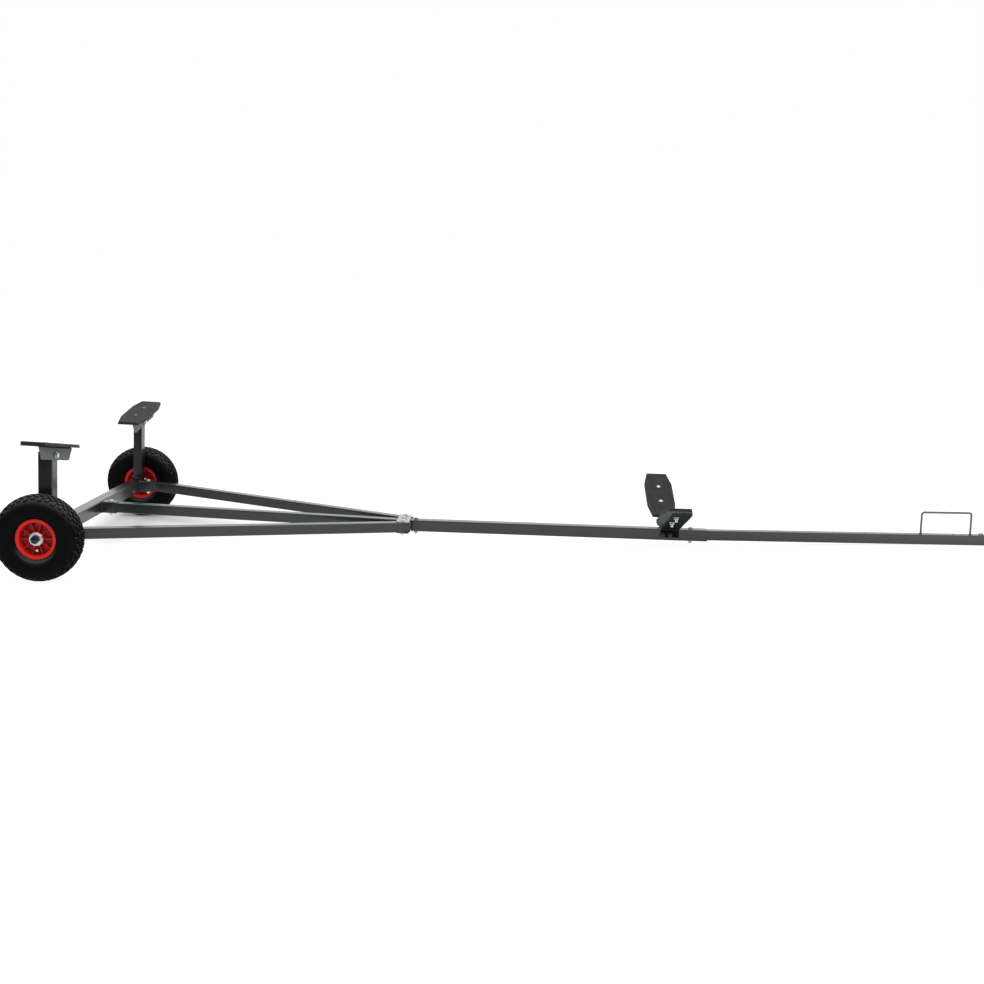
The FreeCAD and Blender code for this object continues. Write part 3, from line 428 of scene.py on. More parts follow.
def hex_outline(flat, limit, turn):
    """Hexagon with its corners cut to a circle."""
    points = []
    for k in range(HEX_ROUND):
        angle = 2 * math.pi * k / HEX_ROUND
        local = (angle - turn + math.radians(30)) % math.radians(60) - math.radians(30)
        radius = min(flat / math.cos(local), limit)
        points.append((radius * math.cos(angle), radius * math.sin(angle)))
    return points


def hex_head(work, place, radius, height, turn=0.0, hole=None):
    """Hexagon along +Z with its outer corners rounded off as on a turned nut."""
    flat = radius * math.cos(math.radians(30))
    middle = (flat + radius) / 2
    chamfer = height * 0.13
    levels = [(flat * 0.96, 0.0), (middle, chamfer * 0.6), (radius, chamfer * 1.4),
              (radius, height - chamfer * 1.4), (middle, height - chamfer * 0.6), (flat * 0.95, height)]
    rings = [ring_of(work, place, hex_outline(flat, limit, turn), z) for limit, z in levels]
    prism(work, rings, caps=hole is None)
    if hole is not None:
        low, high = (ring_of(work, place, disc(hole, HEX_ROUND), z) for z in (0.0, height))
        strip(work, rings[0], low)
        strip(work, rings[-1], high)
        strip(work, low, high)


def washer(work, place, radius, thick, hole):
    bevel = thick * 0.25
    profile = [(0.0, hole), (0.0, radius - bevel), (bevel, radius), (thick - bevel, radius),
               (thick, radius - bevel), (thick, hole)]
    lathe(work, profile, ROUND, place @ UP_TO_BACK)


# Turned bolts keep a hairline hole along their middle

THREAD_CORE, SHANK_CORE = 0.0004, 0.0003


def thread(work, place, radius, start, end, pitch):
    """Screw thread drawn as close rings, with a chamfered tip."""
    depth = pitch * 0.45
    root = radius - depth
    profile = [(start, root)]
    y = start
    while y + pitch <= end:
        profile += [(y + pitch * 0.35, radius), (y + pitch * 0.55, radius), (y + pitch * 0.95, root)]
        y += pitch
    profile += [(end - pitch * 0.2, root), (end, radius - depth * 1.8), (end, THREAD_CORE),
                (start, THREAD_CORE)]
    lathe(work, profile, SHANK_ROUND, place @ UP_TO_BACK)


# Bolts: head and nut are heights with their washer, the seat is the washer's radius

WASHER, BOLT_PLAY_SHARE, BOLT_CORE_SHARE = 0.0015, 1.02, 0.98
FRAME_BOLT = {"radius": 0.004, "corner": 0.0074, "head": 0.0055, "nut": 0.0065, "tip": 0.0038, "seat": 0.0082}
SCREW = {**FRAME_BOLT, "nut": None}
PAD_BOLT = {"radius": 0.004, "corner": 0.0072, "head": 0.0048, "nut": 0.0065, "tip": 0.0085, "seat": 0.0083}
PIVOT_BOLT = {"radius": 0.005, "corner": 0.0084, "head": 0.0065, "nut": 0.0065, "tip": 0.0038, "seat": 0.0098}


def bolt(work, place, grip, radius, corner, head, nut, tip, seat, turn=0.0):
    """Bolt along Z about the middle of its grip: washer and head on top, nut and threaded tip below."""
    hole, core = radius * BOLT_PLAY_SHARE, radius * BOLT_CORE_SHARE
    top = place @ Matrix.Translation((0, 0, grip / 2))
    washer(work, top, seat, WASHER, hole)
    hex_head(work, top @ Matrix.Translation((0, 0, WASHER)), corner, head - WASHER, turn)
    shank = [(-grip / 2, SHANK_CORE), (-grip / 2, core), (grip / 2, core), (grip / 2, SHANK_CORE)]
    lathe(work, shank, SHANK_ROUND, place @ UP_TO_BACK)
    if nut:
        below = place @ Matrix.Translation((0, 0, -grip / 2)) @ Matrix.Rotation(math.pi, 4, "X")
        washer(work, below, seat, WASHER, hole)
        nut_place = below @ Matrix.Translation((0, 0, WASHER))
        hex_head(work, nut_place, corner, nut - WASHER, turn + 0.35, hole=radius)
        thread(work, below, radius * 0.99, 0.0, nut + tip, radius * 0.3)


def drilled(name, mesh, cut):
    """The mesh with closed cutting forms taken out of it."""
    item = link(bpy.data.objects.new(name, mesh))
    cutter = link(bpy.data.objects.new(name + "_cutter", to_mesh(name + "_cutter", cut)))
    change = item.modifiers.new("holes", "BOOLEAN")
    change.operation = "DIFFERENCE"
    change.object = cutter
    bpy.context.view_layer.update()
    done = bpy.data.meshes.new_from_object(item.evaluated_get(bpy.context.evaluated_depsgraph_get()))
    bpy.data.objects.remove(item)
    bpy.data.objects.remove(cutter)
    done.name = name
    done.materials.clear()
    return done


WELD_ROUND, WELD_HEIGHT_SHARE, WELD_END_SHARE = 10, 0.75, 0.55


def weld(work, points, normal_of, radius, seed):
    """Bead of overlapping ripples along points; normal_of gives the way outward at a share of their line."""
    count = len(points)
    rings = []
    for index, point in enumerate(points):
        ahead = points[min(index + 1, count - 1)] - points[max(index - 1, 0)]
        out = normal_of(index / max(count - 1, 1)).normalized()
        side = ahead.normalized().cross(out).normalized()
        uneven = 0.10 * noise.noise(Vector((index * 0.31, seed, 0.0)))
        size = radius * (0.86 + 0.14 * abs(math.sin(index * 1.1)) + uneven)
        if index in (0, count - 1):
            size *= WELD_END_SHARE
        rings.append([work.verts.new(point + (out * x * WELD_HEIGHT_SHARE + side * y) * size)
                      for x, y in disc(1.0, WELD_ROUND)])
    prism(work, rings)


def catmull(points, steps):
    """Smooth open line through points."""
    line = []
    padded = [points[0], *points, points[-1]]
    for index in range(1, len(points)):
        near = padded[index - 1:index + 3]
        for step in range(steps):
            t = step / steps
            weights = (-t + 2 * t ** 2 - t ** 3, 2 - 5 * t ** 2 + 3 * t ** 3, t + 4 * t ** 2 - 3 * t ** 3,
                       t ** 3 - t ** 2)
            line.append(tuple(sum(weight * point[axis] for weight, point in zip(weights, near)) / 2
                              for axis in (0, 1)))
    line.append(points[-1])
    return line


# Tyre: smooth carcass with bead ring and fine sidewall rings, and rows of tread blocks

TYRE_SEGMENTS = 128
HALF_SECTION = [(25.8, 55.0), (26.4, 60.0), (29.3, 63.0), (34.4, 66.4), (38.4, 73.6), (41.0, 85.0),
                (41.3, 96.0), (39.6, 106.5), (35.8, 114.8), (29.6, 120.5), (20.6, 123.8), (10.0, 125.2),
                (0.0, 125.6)]
HALF_INSIDE = [(20.5, 51.2), (20.5, 66.0), (31.0, 82.0), (32.0, 96.0), (24.0, 114.0), (0.0, 118.0)]
SIDEWALL_RINGS = ((71.0, 1.6, 0.6), (101.5, 1.2, 0.5))
PITCHES = 36
LUG, LUG_ROOT, LUG_EDGE = 4.2 * MM, 1.0 * MM, 0.7 * MM
LUG_STEPS, LUG_ACROSS = 6, 4
SHOULDER_ENDS = (33.5, 37.5)


def millimetres(points):
    return [(y * MM, r * MM) for y, r in points]


def mirrored(points):
    return [(-y, r) for y, r in reversed(points)]


def tyre_section():
    """Half of the tyre's outside, from the bead to the crown, with its rings swelling from the sidewall."""
    shaped = []
    for y, r in catmull(millimetres(HALF_SECTION), 5):
        swell = sum(height * MM * math.exp(-((r / MM - place) / width) ** 2)
                    for place, width, height in SIDEWALL_RINGS)
        shaped.append((y + swell * 0.8, r))
    return shaped


def section_walk(crown):
    """Gives the function from an arc length off the crown and a lift to the point (along Y, radius)."""
    lengths = [0.0]
    for (y0, r0), (y1, r1) in zip(crown, crown[1:]):
        lengths.append(lengths[-1] + math.hypot(y1 - y0, r1 - r0))

    def on_section(s, lift):
        flip = 1 if s >= 0 else -1
        s = abs(s)
        index = 0
        while index < len(lengths) - 2 and lengths[index + 1] < s:
            index += 1
        (y0, r0), (y1, r1) = crown[index], crown[index + 1]
        t = (s - lengths[index]) / (lengths[index + 1] - lengths[index])
        dy, dr = y1 - y0, r1 - r0
        size = math.hypot(dy, dr)
        return flip * (y0 + dy * t - dr / size * lift), r0 + dr * t + dy / size * lift

    return on_section


def tread_block(work, place, on_section, ends, angle, widths, skew, height):
    """Block across the section, about an angle, with slanted ends and rounded top edges."""

    def corner(a, b, lift, inset):
        u, v = a / LUG_STEPS, b / LUG_ACROSS
        low, high = ends[0] + inset, ends[1] - inset
        wide = widths[0] + (widths[1] - widths[0]) * u - 2 * inset
        y, r = on_section(low + (high - low) * u, lift)
        turn = angle + (skew * (u - 0.5) + (v - 0.5) * wide) / WHEEL_RADIUS
        return work.verts.new(place @ Vector((r * math.sin(turn), y, r * math.cos(turn))))

    around = [(a, 0) for a in range(LUG_STEPS)] + [(LUG_STEPS, b) for b in range(LUG_ACROSS)]
    around += [(LUG_STEPS - a, LUG_ACROSS) for a in range(LUG_STEPS)]
    around += [(0, LUG_ACROSS - b) for b in range(LUG_ACROSS)]
    levels = ((-LUG_ROOT, -LUG_ROOT / 2), (height - LUG_EDGE, 0.0), (height, LUG_EDGE))
    rings = [[corner(a, b, lift, inset) for a, b in around] for lift, inset in levels]
    prism(work, rings, caps=False)
    top = dict(zip(around, rings[-1]))
    for a in range(1, LUG_STEPS):
        for b in range(1, LUG_ACROSS):
            top[a, b] = corner(a, b, height, LUG_EDGE)
    for a in range(LUG_STEPS):
        for b in range(LUG_ACROSS):
            work.faces.new((top[a, b], top[a + 1, b], top[a + 1, b + 1], top[a, b + 1]))
    work.faces.new(rings[0][::-1])


def make_tyre(name, side, body, cad_node):
    work = bmesh.new()
    place = wheel_place(side)
    outer, inner = tyre_section(), millimetres(HALF_INSIDE)
    back = [(-y, r) for y, r in inner] + inner[-2::-1]
    lathe(work, outer + mirrored(outer[:-1]) + back, TYRE_SEGMENTS, place)
    on_section = section_walk(outer[::-1])
    half = math.pi / PITCHES
    for k in range(PITCHES):
        # Ends off the crown, half pitches turned, widths at both ends, skew, share of the height
        rows = ((1.2, 9.8, 0, 13.0, 15.5, 4.0, 1.0), (11.8, 21.0, 1, 13.5, 12.0, -3.0, 1.0),
                (22.6, SHOULDER_ENDS[k % 2], 0, 10.5, 12.5, 0.0, 0.95))
        for flip in (1, -1):
            for start, end, halves, wide0, wide1, skew, share in rows:
                ends, widths = (start * MM, end * MM), (wide0 * MM, wide1 * MM)
                if flip < 0:
                    ends, widths = (-end * MM, -start * MM), widths[::-1]
                    halves += 1
                turn = (2 * k + halves) * half
                tread_block(work, place, on_section, ends, turn, widths, flip * skew * MM, LUG * share)
    add_piece(name, to_mesh(name, work), TYRE_RUBBER, body, [cad_node], sharp=40)


# Rim: moulded plastic halves with a rolled flange, a dished web, radial ribs and a valve

RIM_SEGMENTS = 96
RIBS = 10
HALF_RIM = [(26.2, 50.0), (26.2, 58.2), (26.8, 59.8), (28.0, 60.8), (29.4, 60.8), (30.5, 59.8), (30.9, 58.2),
            (31.0, 55.6), (30.8, 53.2), (30.2, 51.4), (29.0, 50.2), (27.2, 49.4), (20.0, 48.4), (7.4, 46.6),
            (4.8, 45.2), (4.0, 42.6), (4.0, 24.6), (4.8, 22.4), (7.0, 21.2), (21.8, 20.6), (23.0, 19.6),
            (23.0, 15.2)]
RIB_OUTLINE = [(3.0, 19.6), (18.6, 19.6), (19.4, 21.4), (17.2, 29.0), (17.4, 39.0), (22.4, 48.6), (3.0, 48.6)]
RIB_LEVELS = ((-1.3, 0.0), (-0.9, 0.5), (0.9, 0.5), (1.3, 0.0))


def make_rim(name, side, body, cad_node):
    work = bmesh.new()
    place = wheel_place(side)
    half = millimetres(HALF_RIM)
    lathe(work, half + mirrored(half), RIM_SEGMENTS, place)
    for flip in (1, -1):
        for k in range(RIBS):
            turned = place @ Matrix.Rotation(2 * math.pi * (k + 0.5) / RIBS, 4, "Y")
            rings = []
            for x, shrink in RIB_LEVELS:
                lifts = [0.0] + [shrink] * (len(RIB_OUTLINE) - 2) + [0.0]
                rings.append([work.verts.new(turned @ Vector((x * MM, flip * (y + lift) * MM, r * MM)))
                              for lift, (y, r) in zip(lifts, RIB_OUTLINE)])
            prism(work, rings)
    add_piece(name, to_mesh(name, work), RED_PLASTIC, body, [cad_node], sharp=38)


# The valve is below the axle on both sides at rest

VALVE_PLACE = (0.0015, 0, -0.0350)
VALVE_SEGMENTS = 28
STEM = [(3.0, 0.2), (3.0, 4.4), (5.0, 4.4), (7.0, 3.4), (13.5, 3.2), (13.5, 0.2)]
CAP_GRIPS, CAP_GRIP_PITCH = 5, 1.2


def make_valve(name, side, body):
    place = wheel_place(side) @ Matrix.Translation(VALVE_PLACE)
    work = bmesh.new()
    lathe(work, millimetres(STEM), VALVE_SEGMENTS, place)
    add_piece(name, to_mesh(name, work), BLACK_PLASTIC, body)
    work = bmesh.new()
    cap = [(12.8, 0.2), (12.8, 3.9), (13.4, 4.2)]
    for k in range(CAP_GRIPS):
        y = 13.8 + k * CAP_GRIP_PITCH
        cap += [(y, 4.2), (y + 0.4, 3.9), (y + 0.8, 4.2)]
    cap += [(20.4, 3.9), (21.0, 3.0), (21.2, 0.2)]
    lathe(work, millimetres(cap), VALVE_SEGMENTS, place)
    add_piece(name + "_cap", to_mesh(name + "_cap", work), ZINC, body)


HUB_SEGMENTS = 72
HALF_HUB = [(27.0, 8.3), (27.0, 13.8), (26.5, 14.5), (26.0, 14.7), (26.0, 19.8), (25.4, 20.5), (23.6, 20.5),
            (23.1, 19.8), (23.1, 14.7)]


def make_hub(name, side, body, cad_node):
    work = bmesh.new()
    half = millimetres(HALF_HUB)
    lathe(work, half + mirrored(half), HUB_SEGMENTS, wheel_place(side))
    add_piece(name, to_mesh(name, work), ZINC, body, [cad_node])


# Places along the axle, outward from the middle of the wheel

POST_OUTSIDE = POST_OUTER - HALF_TRACK
POST_INSIDE = POST_OUTER - SHEET - HALF_TRACK
HUB_END, HUB_PLAY = 27.0 * MM, 0.4 * MM
AXLE_WASHER_RADIUS, AXLE_WASHER = 18.9 * MM, 2.9 * MM
NUT_SEAT = HUB_END + HUB_PLAY + AXLE_WASHER
SPACER_RADIUS, SPACER_EDGE = 15.0 * MM, 0.6 * MM
NUT_HEIGHT, HEAD_HEIGHT = 9.0 * MM, 8.9 * MM
AXLE_TIP, AXLE_CORE = 10.6 * MM, 0.5 * MM


def make_axle(name, side, cad_node):
    """Axle bolt: head inside the post, spacer, washer and dark locking nut outside."""
    place = wheel_place(side)
    out = place @ UP_TO_BACK.inverted()
    work = bmesh.new()
    bore = AXLE_RADIUS + 0.2 * MM
    small = SPACER_RADIUS - SPACER_EDGE
    inner_end = -HUB_END - HUB_PLAY
    spacer = [(POST_OUTSIDE, bore), (POST_OUTSIDE, small), (POST_OUTSIDE + 1.0 * MM, SPACER_RADIUS),
              (inner_end - 1.0 * MM, SPACER_RADIUS), (inner_end, small), (inner_end, bore)]
    lathe(work, spacer, 48, place)
    washer(work, out @ Matrix.Translation((0, 0, HUB_END + HUB_PLAY)), AXLE_WASHER_RADIUS, AXLE_WASHER, bore)
    radius = AXLE_RADIUS - 0.1 * MM
    shank = [(POST_INSIDE, AXLE_CORE), (POST_INSIDE, radius), (NUT_SEAT, radius), (NUT_SEAT, AXLE_CORE)]
    lathe(work, shank, 36, place)
    add_piece(name, to_mesh(name, work), ZINC, "frame", [cad_node])
    work = bmesh.new()
    corner = AXLE_HEX - 0.2 * MM
    hex_head(work, out @ Matrix.Translation((0, 0, NUT_SEAT)), corner, NUT_HEIGHT, 0.3, hole=7.6 * MM)
    thread(work, out, 7.8 * MM, NUT_SEAT, NUT_SEAT + AXLE_TIP, 1.6 * MM)
    head_place = out @ Matrix.Translation((0, 0, POST_INSIDE)) @ Matrix.Rotation(math.pi, 4, "X")
    hex_head(work, head_place, corner, HEAD_HEIGHT, 0.1)
    add_piece(name + "_nut", to_mesh(name + "_nut", work), DARK_BOLT, "frame")


# Pads: rubber with rounded edges, a plain border and fine crossing ribs, each with two sunk bolts

PAD_LENGTH, PAD_WIDTH, PAD_END, PAD_TAPER, PAD_THICK = 0.290, 0.096, 0.070, 0.073, 0.010
PAD_LONG_STEPS, PAD_WIDE_STEPS = 196, 66
PAD_EDGE, PAD_BORDER = 0.0022, 0.0065
RIB_DEPTH, RIB_PITCH, GROOVE_SHARE, GROOVE_STEEPNESS = 0.0006, 0.0052, 0.22, 1.6
PAD_BOLT_SPREAD, PAD_BOLT_BORDER = 0.050, 0.0135
PAD_BORE, PAD_SEAT, PAD_SEAT_FLOOR = 0.0043, 0.009, 0.006
OVERRUN = 0.010


def pad_half_width(along):
    straight = PAD_LENGTH / 2 - PAD_TAPER
    if abs(along) <= straight:
        return PAD_WIDTH / 2
    share = (abs(along) - straight) / PAD_TAPER
    return PAD_WIDTH / 2 + (PAD_END - PAD_WIDTH) / 2 * share


def pad_top(x, y):
    """Height of the pad's top: rounded edge, plain border and plain rings about the bolts, ribs between."""
    inset = min(pad_half_width(y) - abs(x), PAD_LENGTH / 2 - abs(y))
    if inset < PAD_EDGE:
        return PAD_THICK - PAD_EDGE + math.sqrt(max(PAD_EDGE ** 2 - (PAD_EDGE - inset) ** 2, 0.0))
    away = min(math.hypot(x, y - PAD_BOLT_SPREAD), math.hypot(x, y + PAD_BOLT_SPREAD))
    if inset < PAD_BORDER or away < PAD_BOLT_BORDER:
        return PAD_THICK
    nearest = min(abs((across / RIB_PITCH) % 1.0 - 0.5) for across in (x + y, x - y))
    groove = max(0.0, 1 - nearest / GROOVE_SHARE)
    return PAD_THICK - RIB_DEPTH * min(1.0, groove * GROOVE_STEEPNESS)


def make_pad(name, place, body, cad_node, material):
    """Pad along local Y, its underside at the local origin's height."""
    work = bmesh.new()
    grid = []
    for long_step in range(PAD_LONG_STEPS + 1):
        y = (-1 + 2 * long_step / PAD_LONG_STEPS) * PAD_LENGTH / 2
        row = []
        for wide_step in range(PAD_WIDE_STEPS + 1):
            x = (-1 + 2 * wide_step / PAD_WIDE_STEPS) * pad_half_width(y)
            row.append(work.verts.new(Vector((x, y, pad_top(x, y)))))
        grid.append(row)
    for here, there in zip(grid, grid[1:]):
        for index in range(PAD_WIDE_STEPS):
            work.faces.new((here[index], here[index + 1], there[index + 1], there[index]))
    rim = [row[0] for row in grid] + grid[-1][1:] + [row[-1] for row in grid[-2::-1]] + grid[0][-2:0:-1]
    base = [work.verts.new(Vector((v.co.x, v.co.y, 0.0))) for v in rim]
    strip(work, rim, base)
    work.faces.new(base[::-1])
    cut = bmesh.new()
    levels = ((PAD_BORE, -OVERRUN), (PAD_BORE, PAD_SEAT_FLOOR), (PAD_SEAT, PAD_SEAT_FLOOR),
              (PAD_SEAT, PAD_THICK + OVERRUN))
    for step in (-1, 1):
        spot = Matrix.Translation((0, step * PAD_BOLT_SPREAD, 0))
        prism(cut, [ring_of(cut, spot, disc(radius), z) for radius, z in levels])
    done = drilled(name, to_mesh(name, work), cut)
    done.transform(place)
    add_piece(name, done, material, body, [cad_node], sharp=32)


def make_pad_bolts(name, place, body, material):
    """Bolts sunk in the pad: head in its recess, nut under the bracket's sheet."""
    work = bmesh.new()
    for step in (-1, 1):
        middle = place @ Matrix.Translation((0, step * PAD_BOLT_SPREAD, (PAD_SEAT_FLOOR - SHEET) / 2))
        bolt(work, middle, PAD_SEAT_FLOOR + SHEET, **PAD_BOLT, turn=step * 0.4)
    add_piece(name, to_mesh(name, work), material, body)


REAR_PAD_RISE = 0.026

for side_name, side in SIDES:
    wheel, rear = side_name + "_wheel", side_name + "_rear_support"
    make_tyre(side_name + "_tyre_tread", side, wheel, side_name + "_tyre")
    make_rim(side_name + "_rim_moulding", side, wheel, side_name + "_rim")
    make_valve(side_name + "_valve", side, wheel)
    make_hub(side_name + "_hub_sleeve", side, wheel, side_name + "_hub")
    make_axle(side_name + "_axle_set", side, side_name + "_axle_bolt")
    rear_top = rear_pad_place(side) @ Matrix.Translation((-PAD_OFFSET, 0, REAR_PAD_RISE))
    make_pad(side_name + "_rear_pad_rubber", rear_top, rear, side_name + "_rear_pad", PAD_RUBBER)
    make_pad_bolts(side_name + "_rear_pad_bolts", rear_top, rear, DULL_ZINC)
    keel_top = keel_pad_place(side)
    make_pad(side_name + "_keel_pad_rubber", keel_top, "frame", side_name + "_keel_pad", KEEL_RUBBER)
    make_pad_bolts(side_name + "_keel_pad_bolts", keel_top, "frame", ZINC)


# Bolts of the frame

def frame_bolts(name, bolts, cad_node, material=ZINC):
    work = bmesh.new()
    for place, grip, sizes in bolts:
        bolt(work, place, grip, **sizes)
    add_piece(name, to_mesh(name, work), material, "frame", [cad_node])


frame_bolts("socket_bolt_set", [(at(SOCKET_BOLT, y, 0), DRAWBAR, FRAME_BOLT) for y in ARM_PLACES],
            "socket_bolts")
frame_bolts("joint_bolt_set", [(at(JOINT_PLACE, y, 0), ARM + 2 * SHEET, FRAME_BOLT)
                               for y in (-JOINT_SPREAD, 0.0, JOINT_SPREAD)], "joint_bolts")
frame_bolts("drawbar_bolt_set", [(at(DRAWBAR_REAR_BOLT, 0, 0, DRAWBAR_FRAME), DRAWBAR, FRAME_BOLT),
                                 (at(DRAWBAR_FRONT_BOLT, 0, 0, DRAWBAR_FRAME), DRAWBAR, FRAME_BOLT),
                                 (at(FRONT_BOLT, 0, 0, FRONT_FRAME), ARM, SCREW)], "drawbar_bolts", WORN_ZINC)
# Painted shade: the wing bolts, under the keel pads, take the dark bolt finish.
frame_bolts("wing_bolt_set", [(at(WING_BOLTS + step * WING_BOLT_SPREAD, 0, 0, DRAWBAR_FRAME) @ UP_TO_BACK,
                               DRAWBAR + 2 * SHEET, FRAME_BOLT) for step in (-1, 1)], "wing_bolts", DARK_BOLT)

PIVOT_AHEAD, PIVOT_BEHIND = 0.004, SHEET

for side_name, side in SIDES:
    middle = at(PIVOT[0] + (PIVOT_AHEAD - PIVOT_BEHIND) / 2, side * PIVOT[1], PIVOT[2])
    frame_bolts(side_name + "_pivot_bolt_set",
                [(middle @ Matrix.Rotation(math.pi / 2, 4, "Y"), PIVOT_AHEAD + PIVOT_BEHIND, PIVOT_BOLT)],
                side_name + "_pivot_bolt")


# Front tube with its row of adjusting holes, one pitch apart, counted from the bolt in the drawbar

HOLE_PITCH, HOLE_COUNT, HOLE_RADIUS = 0.290, 3, 0.0043


def punch_front_tube():
    source = nodes["front_tube"]
    work = bmesh.new()
    work.from_mesh(source.data)
    work.transform(source.matrix_world)
    bmesh.ops.remove_doubles(work, verts=work.verts, dist=1e-6)
    cut = bmesh.new()
    reach = ARM / 2 + OVERRUN
    for step in range(1, HOLE_COUNT + 1):
        spot = at(DRAWBAR_FRONT_BOLT + step * HOLE_PITCH, 0, 0, FRONT_FRAME)
        prism(cut, [ring_of(cut, spot, disc(HOLE_RADIUS, 32), z) for z in (-reach, reach)])
    done = drilled("front_tube_punched", to_mesh("front_tube_punched", work), cut)
    add_piece("front_tube_punched", done, FRAME_PAINT, "frame", ["front_tube"])


punch_front_tube()


# Welds: where the sockets and posts meet the crossbeam, and at the feet of the bow loop

WELD, THIN_WELD = 0.0022, 0.0020
WELD_STEP = 0.0011
SOCKET_WELD_INSET = 0.003
POST_WELD_REAR, POST_WELD_FRONT = 0.002, 0.007
CORNER_WELD_BACK, CORNER_WELD_INNER, CORNER_WELD_OUTER = 0.003, 0.001, 0.004
LOOP_FOOT, LOOP_FOOT_STEPS = 0.0037, 24


def straight(start, end):
    start, end = Vector(start), Vector(end)
    count = max(3, int((end - start).length / WELD_STEP))
    return [FRAME @ start.lerp(end, k / count) for k in range(count + 1)]


def facing(direction):
    out = FRAME.to_3x3() @ Vector(direction)
    return lambda share: out


def weld_sockets(work):
    x, half = BEAM / 2, DRAWBAR / 2
    reach = half - SOCKET_WELD_INSET
    for index, y in enumerate(ARM_PLACES):
        for up in (1, -1):
            line = straight((x, y - reach, up * half), (x, y + reach, up * half))
            weld(work, line, facing((1, 0, up)), WELD, index)
        for step in (1, -1):
            line = straight((x, y + step * half, -reach), (x, y + step * half, reach))
            weld(work, line, facing((1, step, 0)), WELD, index + len(ARM_PLACES))


def weld_posts(work):
    half = BEAM / 2
    inner = POST_OUTER - SHEET
    corner = half - CORNER_WELD_BACK
    for side in (1, -1):
        for up in (1, -1):
            line = straight((-half + POST_WELD_REAR, side * inner, up * half),
                            (half - POST_WELD_FRONT, side * inner, up * half))
            weld(work, line, facing((0, -side, up)), WELD, side + 7)
            line = straight((corner, side * (ARM_SPREAD + CORNER_WELD_INNER), up * half),
                            (corner, side * (inner - CORNER_WELD_OUTER), up * half))
            weld(work, line, facing((-1, 0, up)), THIN_WELD, side + 9)


def weld_loop(work):
    turned = FRONT_FRAME.to_3x3()

    def radial(share, up=0):
        angle = 2 * math.pi * share
        return Vector((math.cos(angle), math.sin(angle), up))

    for end in (-1, 1):
        centre = Vector((LOOP_PLACE + end * LOOP_LENGTH / 2, 0, ARM / 2))
        ring = [FRONT_FRAME @ (centre + radial(k / LOOP_FOOT_STEPS) * LOOP_FOOT)
                for k in range(LOOP_FOOT_STEPS + 1)]
        weld(work, ring, lambda share: turned @ radial(share, 1), THIN_WELD, end + 20)


welds = bmesh.new()
weld_sockets(welds)
weld_posts(welds)
weld_loop(welds)
add_piece("weld_beads", to_mesh("weld_beads", welds), WELD_PAINT, "frame", sharp=70)


# Stage, lamps and camera

def switched(tree, share, dull, bright):
    made = tree.nodes.new("ShaderNodeMixShader")
    tree.links.new(share, made.inputs["Fac"])
    tree.links.new(dull, made.inputs[1])
    tree.links.new(bright, made.inputs[2])
    return made.outputs["Shader"]


def glow(tree, kind, strength, colour=(1, 1, 1)):
    made = tree.nodes.new(kind)
    made.inputs["Color"].default_value = (*colour, 1)
    if isinstance(strength, float):
        made.inputs["Strength"].default_value = strength
    else:
        tree.links.new(strength, made.inputs["Strength"])
    return made.outputs[0]


def axes_of(tree, output):
    """X, Y and Z of a texture coordinate."""
    apart = tree.nodes.new("ShaderNodeSeparateXYZ")
    tree.links.new(tree.nodes.new("ShaderNodeTexCoord").outputs[output], apart.inputs["Vector"])
    return apart.outputs


def reflected(tree, path):
    return either(tree, path.outputs["Is Glossy Ray"], path.outputs["Is Transmission Ray"])


def band(tree, source, start, full, fading, end):
    """Share that rises from start to full and falls from fading to end."""
    return both(tree, spread(tree, source, 0.0, 1.0, start, full),
                spread(tree, source, 1.0, 0.0, fading, end))


FLOOR_SIZE = 60.0
SHADED_ALONG = (-1.65, -1.50, -1.25, -0.75)
SHADED_ACROSS = (-0.10, 0.25, 0.55, 0.85)


def make_floor():
    """Pale floor: its shade for diffuse light, white with a soft shadow for the view, greyer by the far
    wheel, and for reflections white near the trailer and darker away from it, as a lit sweep in a dark
    room is."""
    material = bpy.data.materials.new("floor")
    material.use_nodes = True
    tree = material.node_tree
    tree.nodes.clear()
    path = tree.nodes.new("ShaderNodeLightPath")
    pale = tree.nodes.new("ShaderNodeBsdfDiffuse")
    pale.inputs["Color"].default_value = (0.80, 0.80, 0.80, 1)
    place = axes_of(tree, "Object")
    shaded = both(tree, band(tree, place["Y"], *SHADED_ACROSS), band(tree, place["X"], *SHADED_ALONG))
    shadow = tree.nodes.new("ShaderNodeBsdfDiffuse")
    tree.links.new(mix(tree, shaded, grey(0.30), grey(0.70)), shadow.inputs["Color"])
    seen = tree.nodes.new("ShaderNodeAddShader")
    tree.links.new(shadow.outputs["BSDF"], seen.inputs[0])
    white = glow(tree, "ShaderNodeEmission", spread(tree, shaded, 0.89, 0.14, 0.0, 1.0))
    tree.links.new(white, seen.inputs[1])
    across = combine(tree, "MINIMUM", spread(tree, place["Y"], 0.16, 1.45, -2.4, -0.75),
                     spread(tree, place["Y"], 1.45, 0.85, -0.75, 0.35))
    along = both(tree, spread(tree, place["X"], 0.6, 1.18, -2.0, -0.7),
                 spread(tree, place["X"], 0.95, 1.75, 0.7, 1.6))
    mirrored_light = glow(tree, "ShaderNodeEmission", both(tree, across, along), (0.95, 0.995, 1.0))
    shade = switched(tree, path.outputs["Is Camera Ray"], pale.outputs["BSDF"], seen.outputs["Shader"])
    shade = switched(tree, reflected(tree, path), shade, mirrored_light)
    output = tree.nodes.new("ShaderNodeOutputMaterial")
    tree.links.new(shade, output.inputs["Surface"])
    work = bmesh.new()
    bmesh.ops.create_grid(work, x_segments=1, y_segments=1, size=FLOOR_SIZE)
    mesh = bpy.data.meshes.new("floor")
    work.to_mesh(mesh)
    work.free()
    mesh.materials.append(material)
    link(bpy.data.objects.new("floor", mesh))


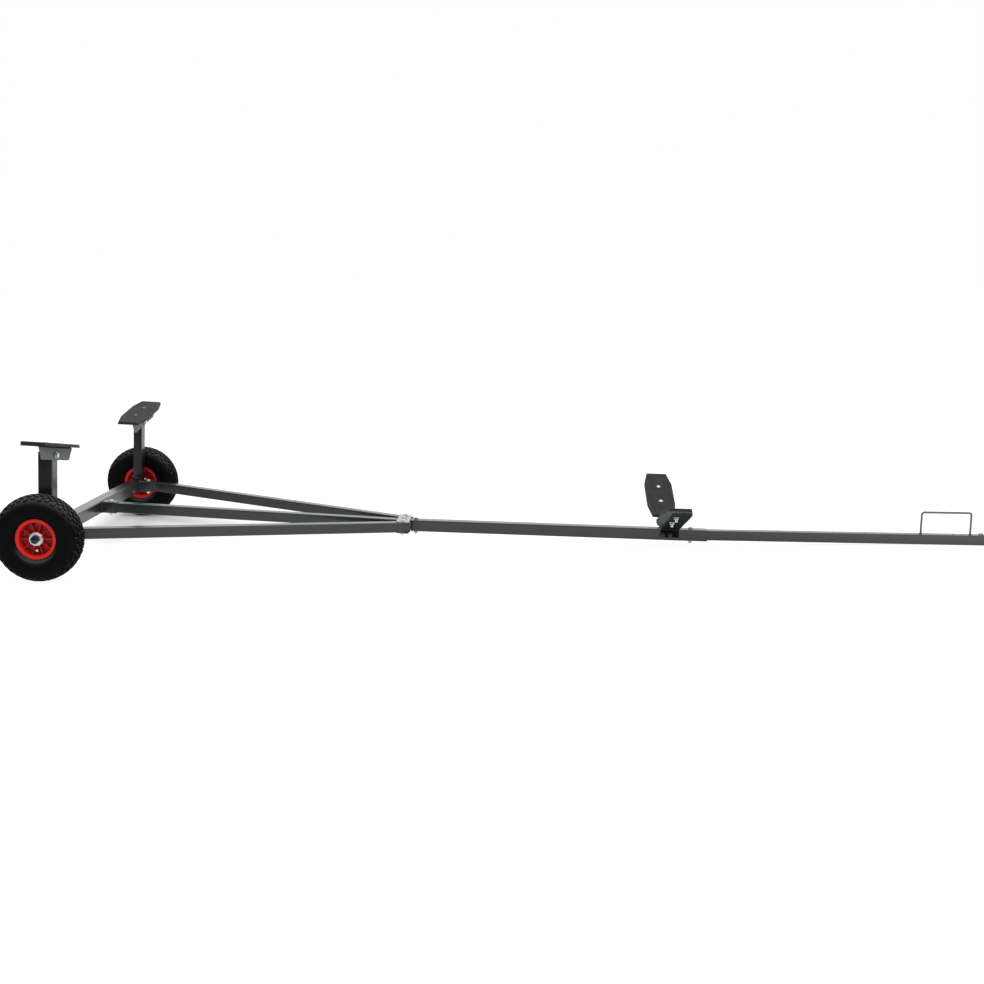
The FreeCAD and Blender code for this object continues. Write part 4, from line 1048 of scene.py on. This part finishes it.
def make_world():
    """White for the view. Reflections see a bright ceiling and back wall and a darker front."""
    world = bpy.data.worlds.new("studio")
    world.use_nodes = True
    tree = world.node_tree
    tree.nodes.clear()
    path = tree.nodes.new("ShaderNodeLightPath")
    towards = axes_of(tree, "Generated")
    front_to_back = spread(tree, towards["Y"], 0.16, 1.0, -0.5, 0.6)
    overhead = spread(tree, towards["Z"], 0.0, 1.0, 0.35, 0.8)
    mirrored_light = glow(tree, "ShaderNodeBackground", either(tree, front_to_back, overhead))
    shade = switched(tree, reflected(tree, path), glow(tree, "ShaderNodeBackground", 0.62), mirrored_light)
    shade = switched(tree, path.outputs["Is Camera Ray"], shade, glow(tree, "ShaderNodeBackground", 1.0))
    output = tree.nodes.new("ShaderNodeOutputWorld")
    tree.links.new(shade, output.inputs["Surface"])
    bpy.context.scene.world = world


def add_lamp(name, place, target, width, height, power):
    data = bpy.data.lights.new(name, "AREA")
    data.shape = "RECTANGLE"
    data.size = width
    data.size_y = height
    data.energy = power
    item = link(bpy.data.objects.new(name, data))
    item.location = place
    item.rotation_mode = "QUATERNION"
    item.rotation_quaternion = (Vector(place) - Vector(target)).to_track_quat("Z", "Y")


make_floor()
make_world()
add_lamp("top_lamp", (-0.4, -0.6, 4.2), (-0.2, 0.0, 0.0), 6.0, 3.0, 120.0)
add_lamp("front_lamp", (2.6, -4.2, 2.8), (0.0, 0.0, 0.1), 2.5, 2.0, 55.0)

# Camera, fitted to the photograph's tubes, wheels and bolts

PICTURE_WIDTH, FOCAL_PIXELS = 984, 1248.55
YAW, PITCH, ROLL = math.radians(1.2748), math.radians(9.7887), math.radians(-0.1979)
CAMERA_PLACE = (AXLE_X + 1.41454, -4.08847, 0.88286)

view = bpy.data.cameras.new("camera")
view.sensor_width = 36
view.lens = FOCAL_PIXELS / PICTURE_WIDTH * view.sensor_width
view.clip_end = 200
camera = link(bpy.data.objects.new("camera", view))
camera.location = CAMERA_PLACE
look = Vector((-math.sin(YAW) * math.cos(PITCH), math.cos(YAW) * math.cos(PITCH), -math.sin(PITCH)))
camera.rotation_mode = "QUATERNION"
camera.rotation_quaternion = look.to_track_quat("-Z", "Y") @ Quaternion((0, 0, 1), ROLL)
bpy.context.scene.camera = camera
bpy.context.scene.view_settings.view_transform = "Standard"
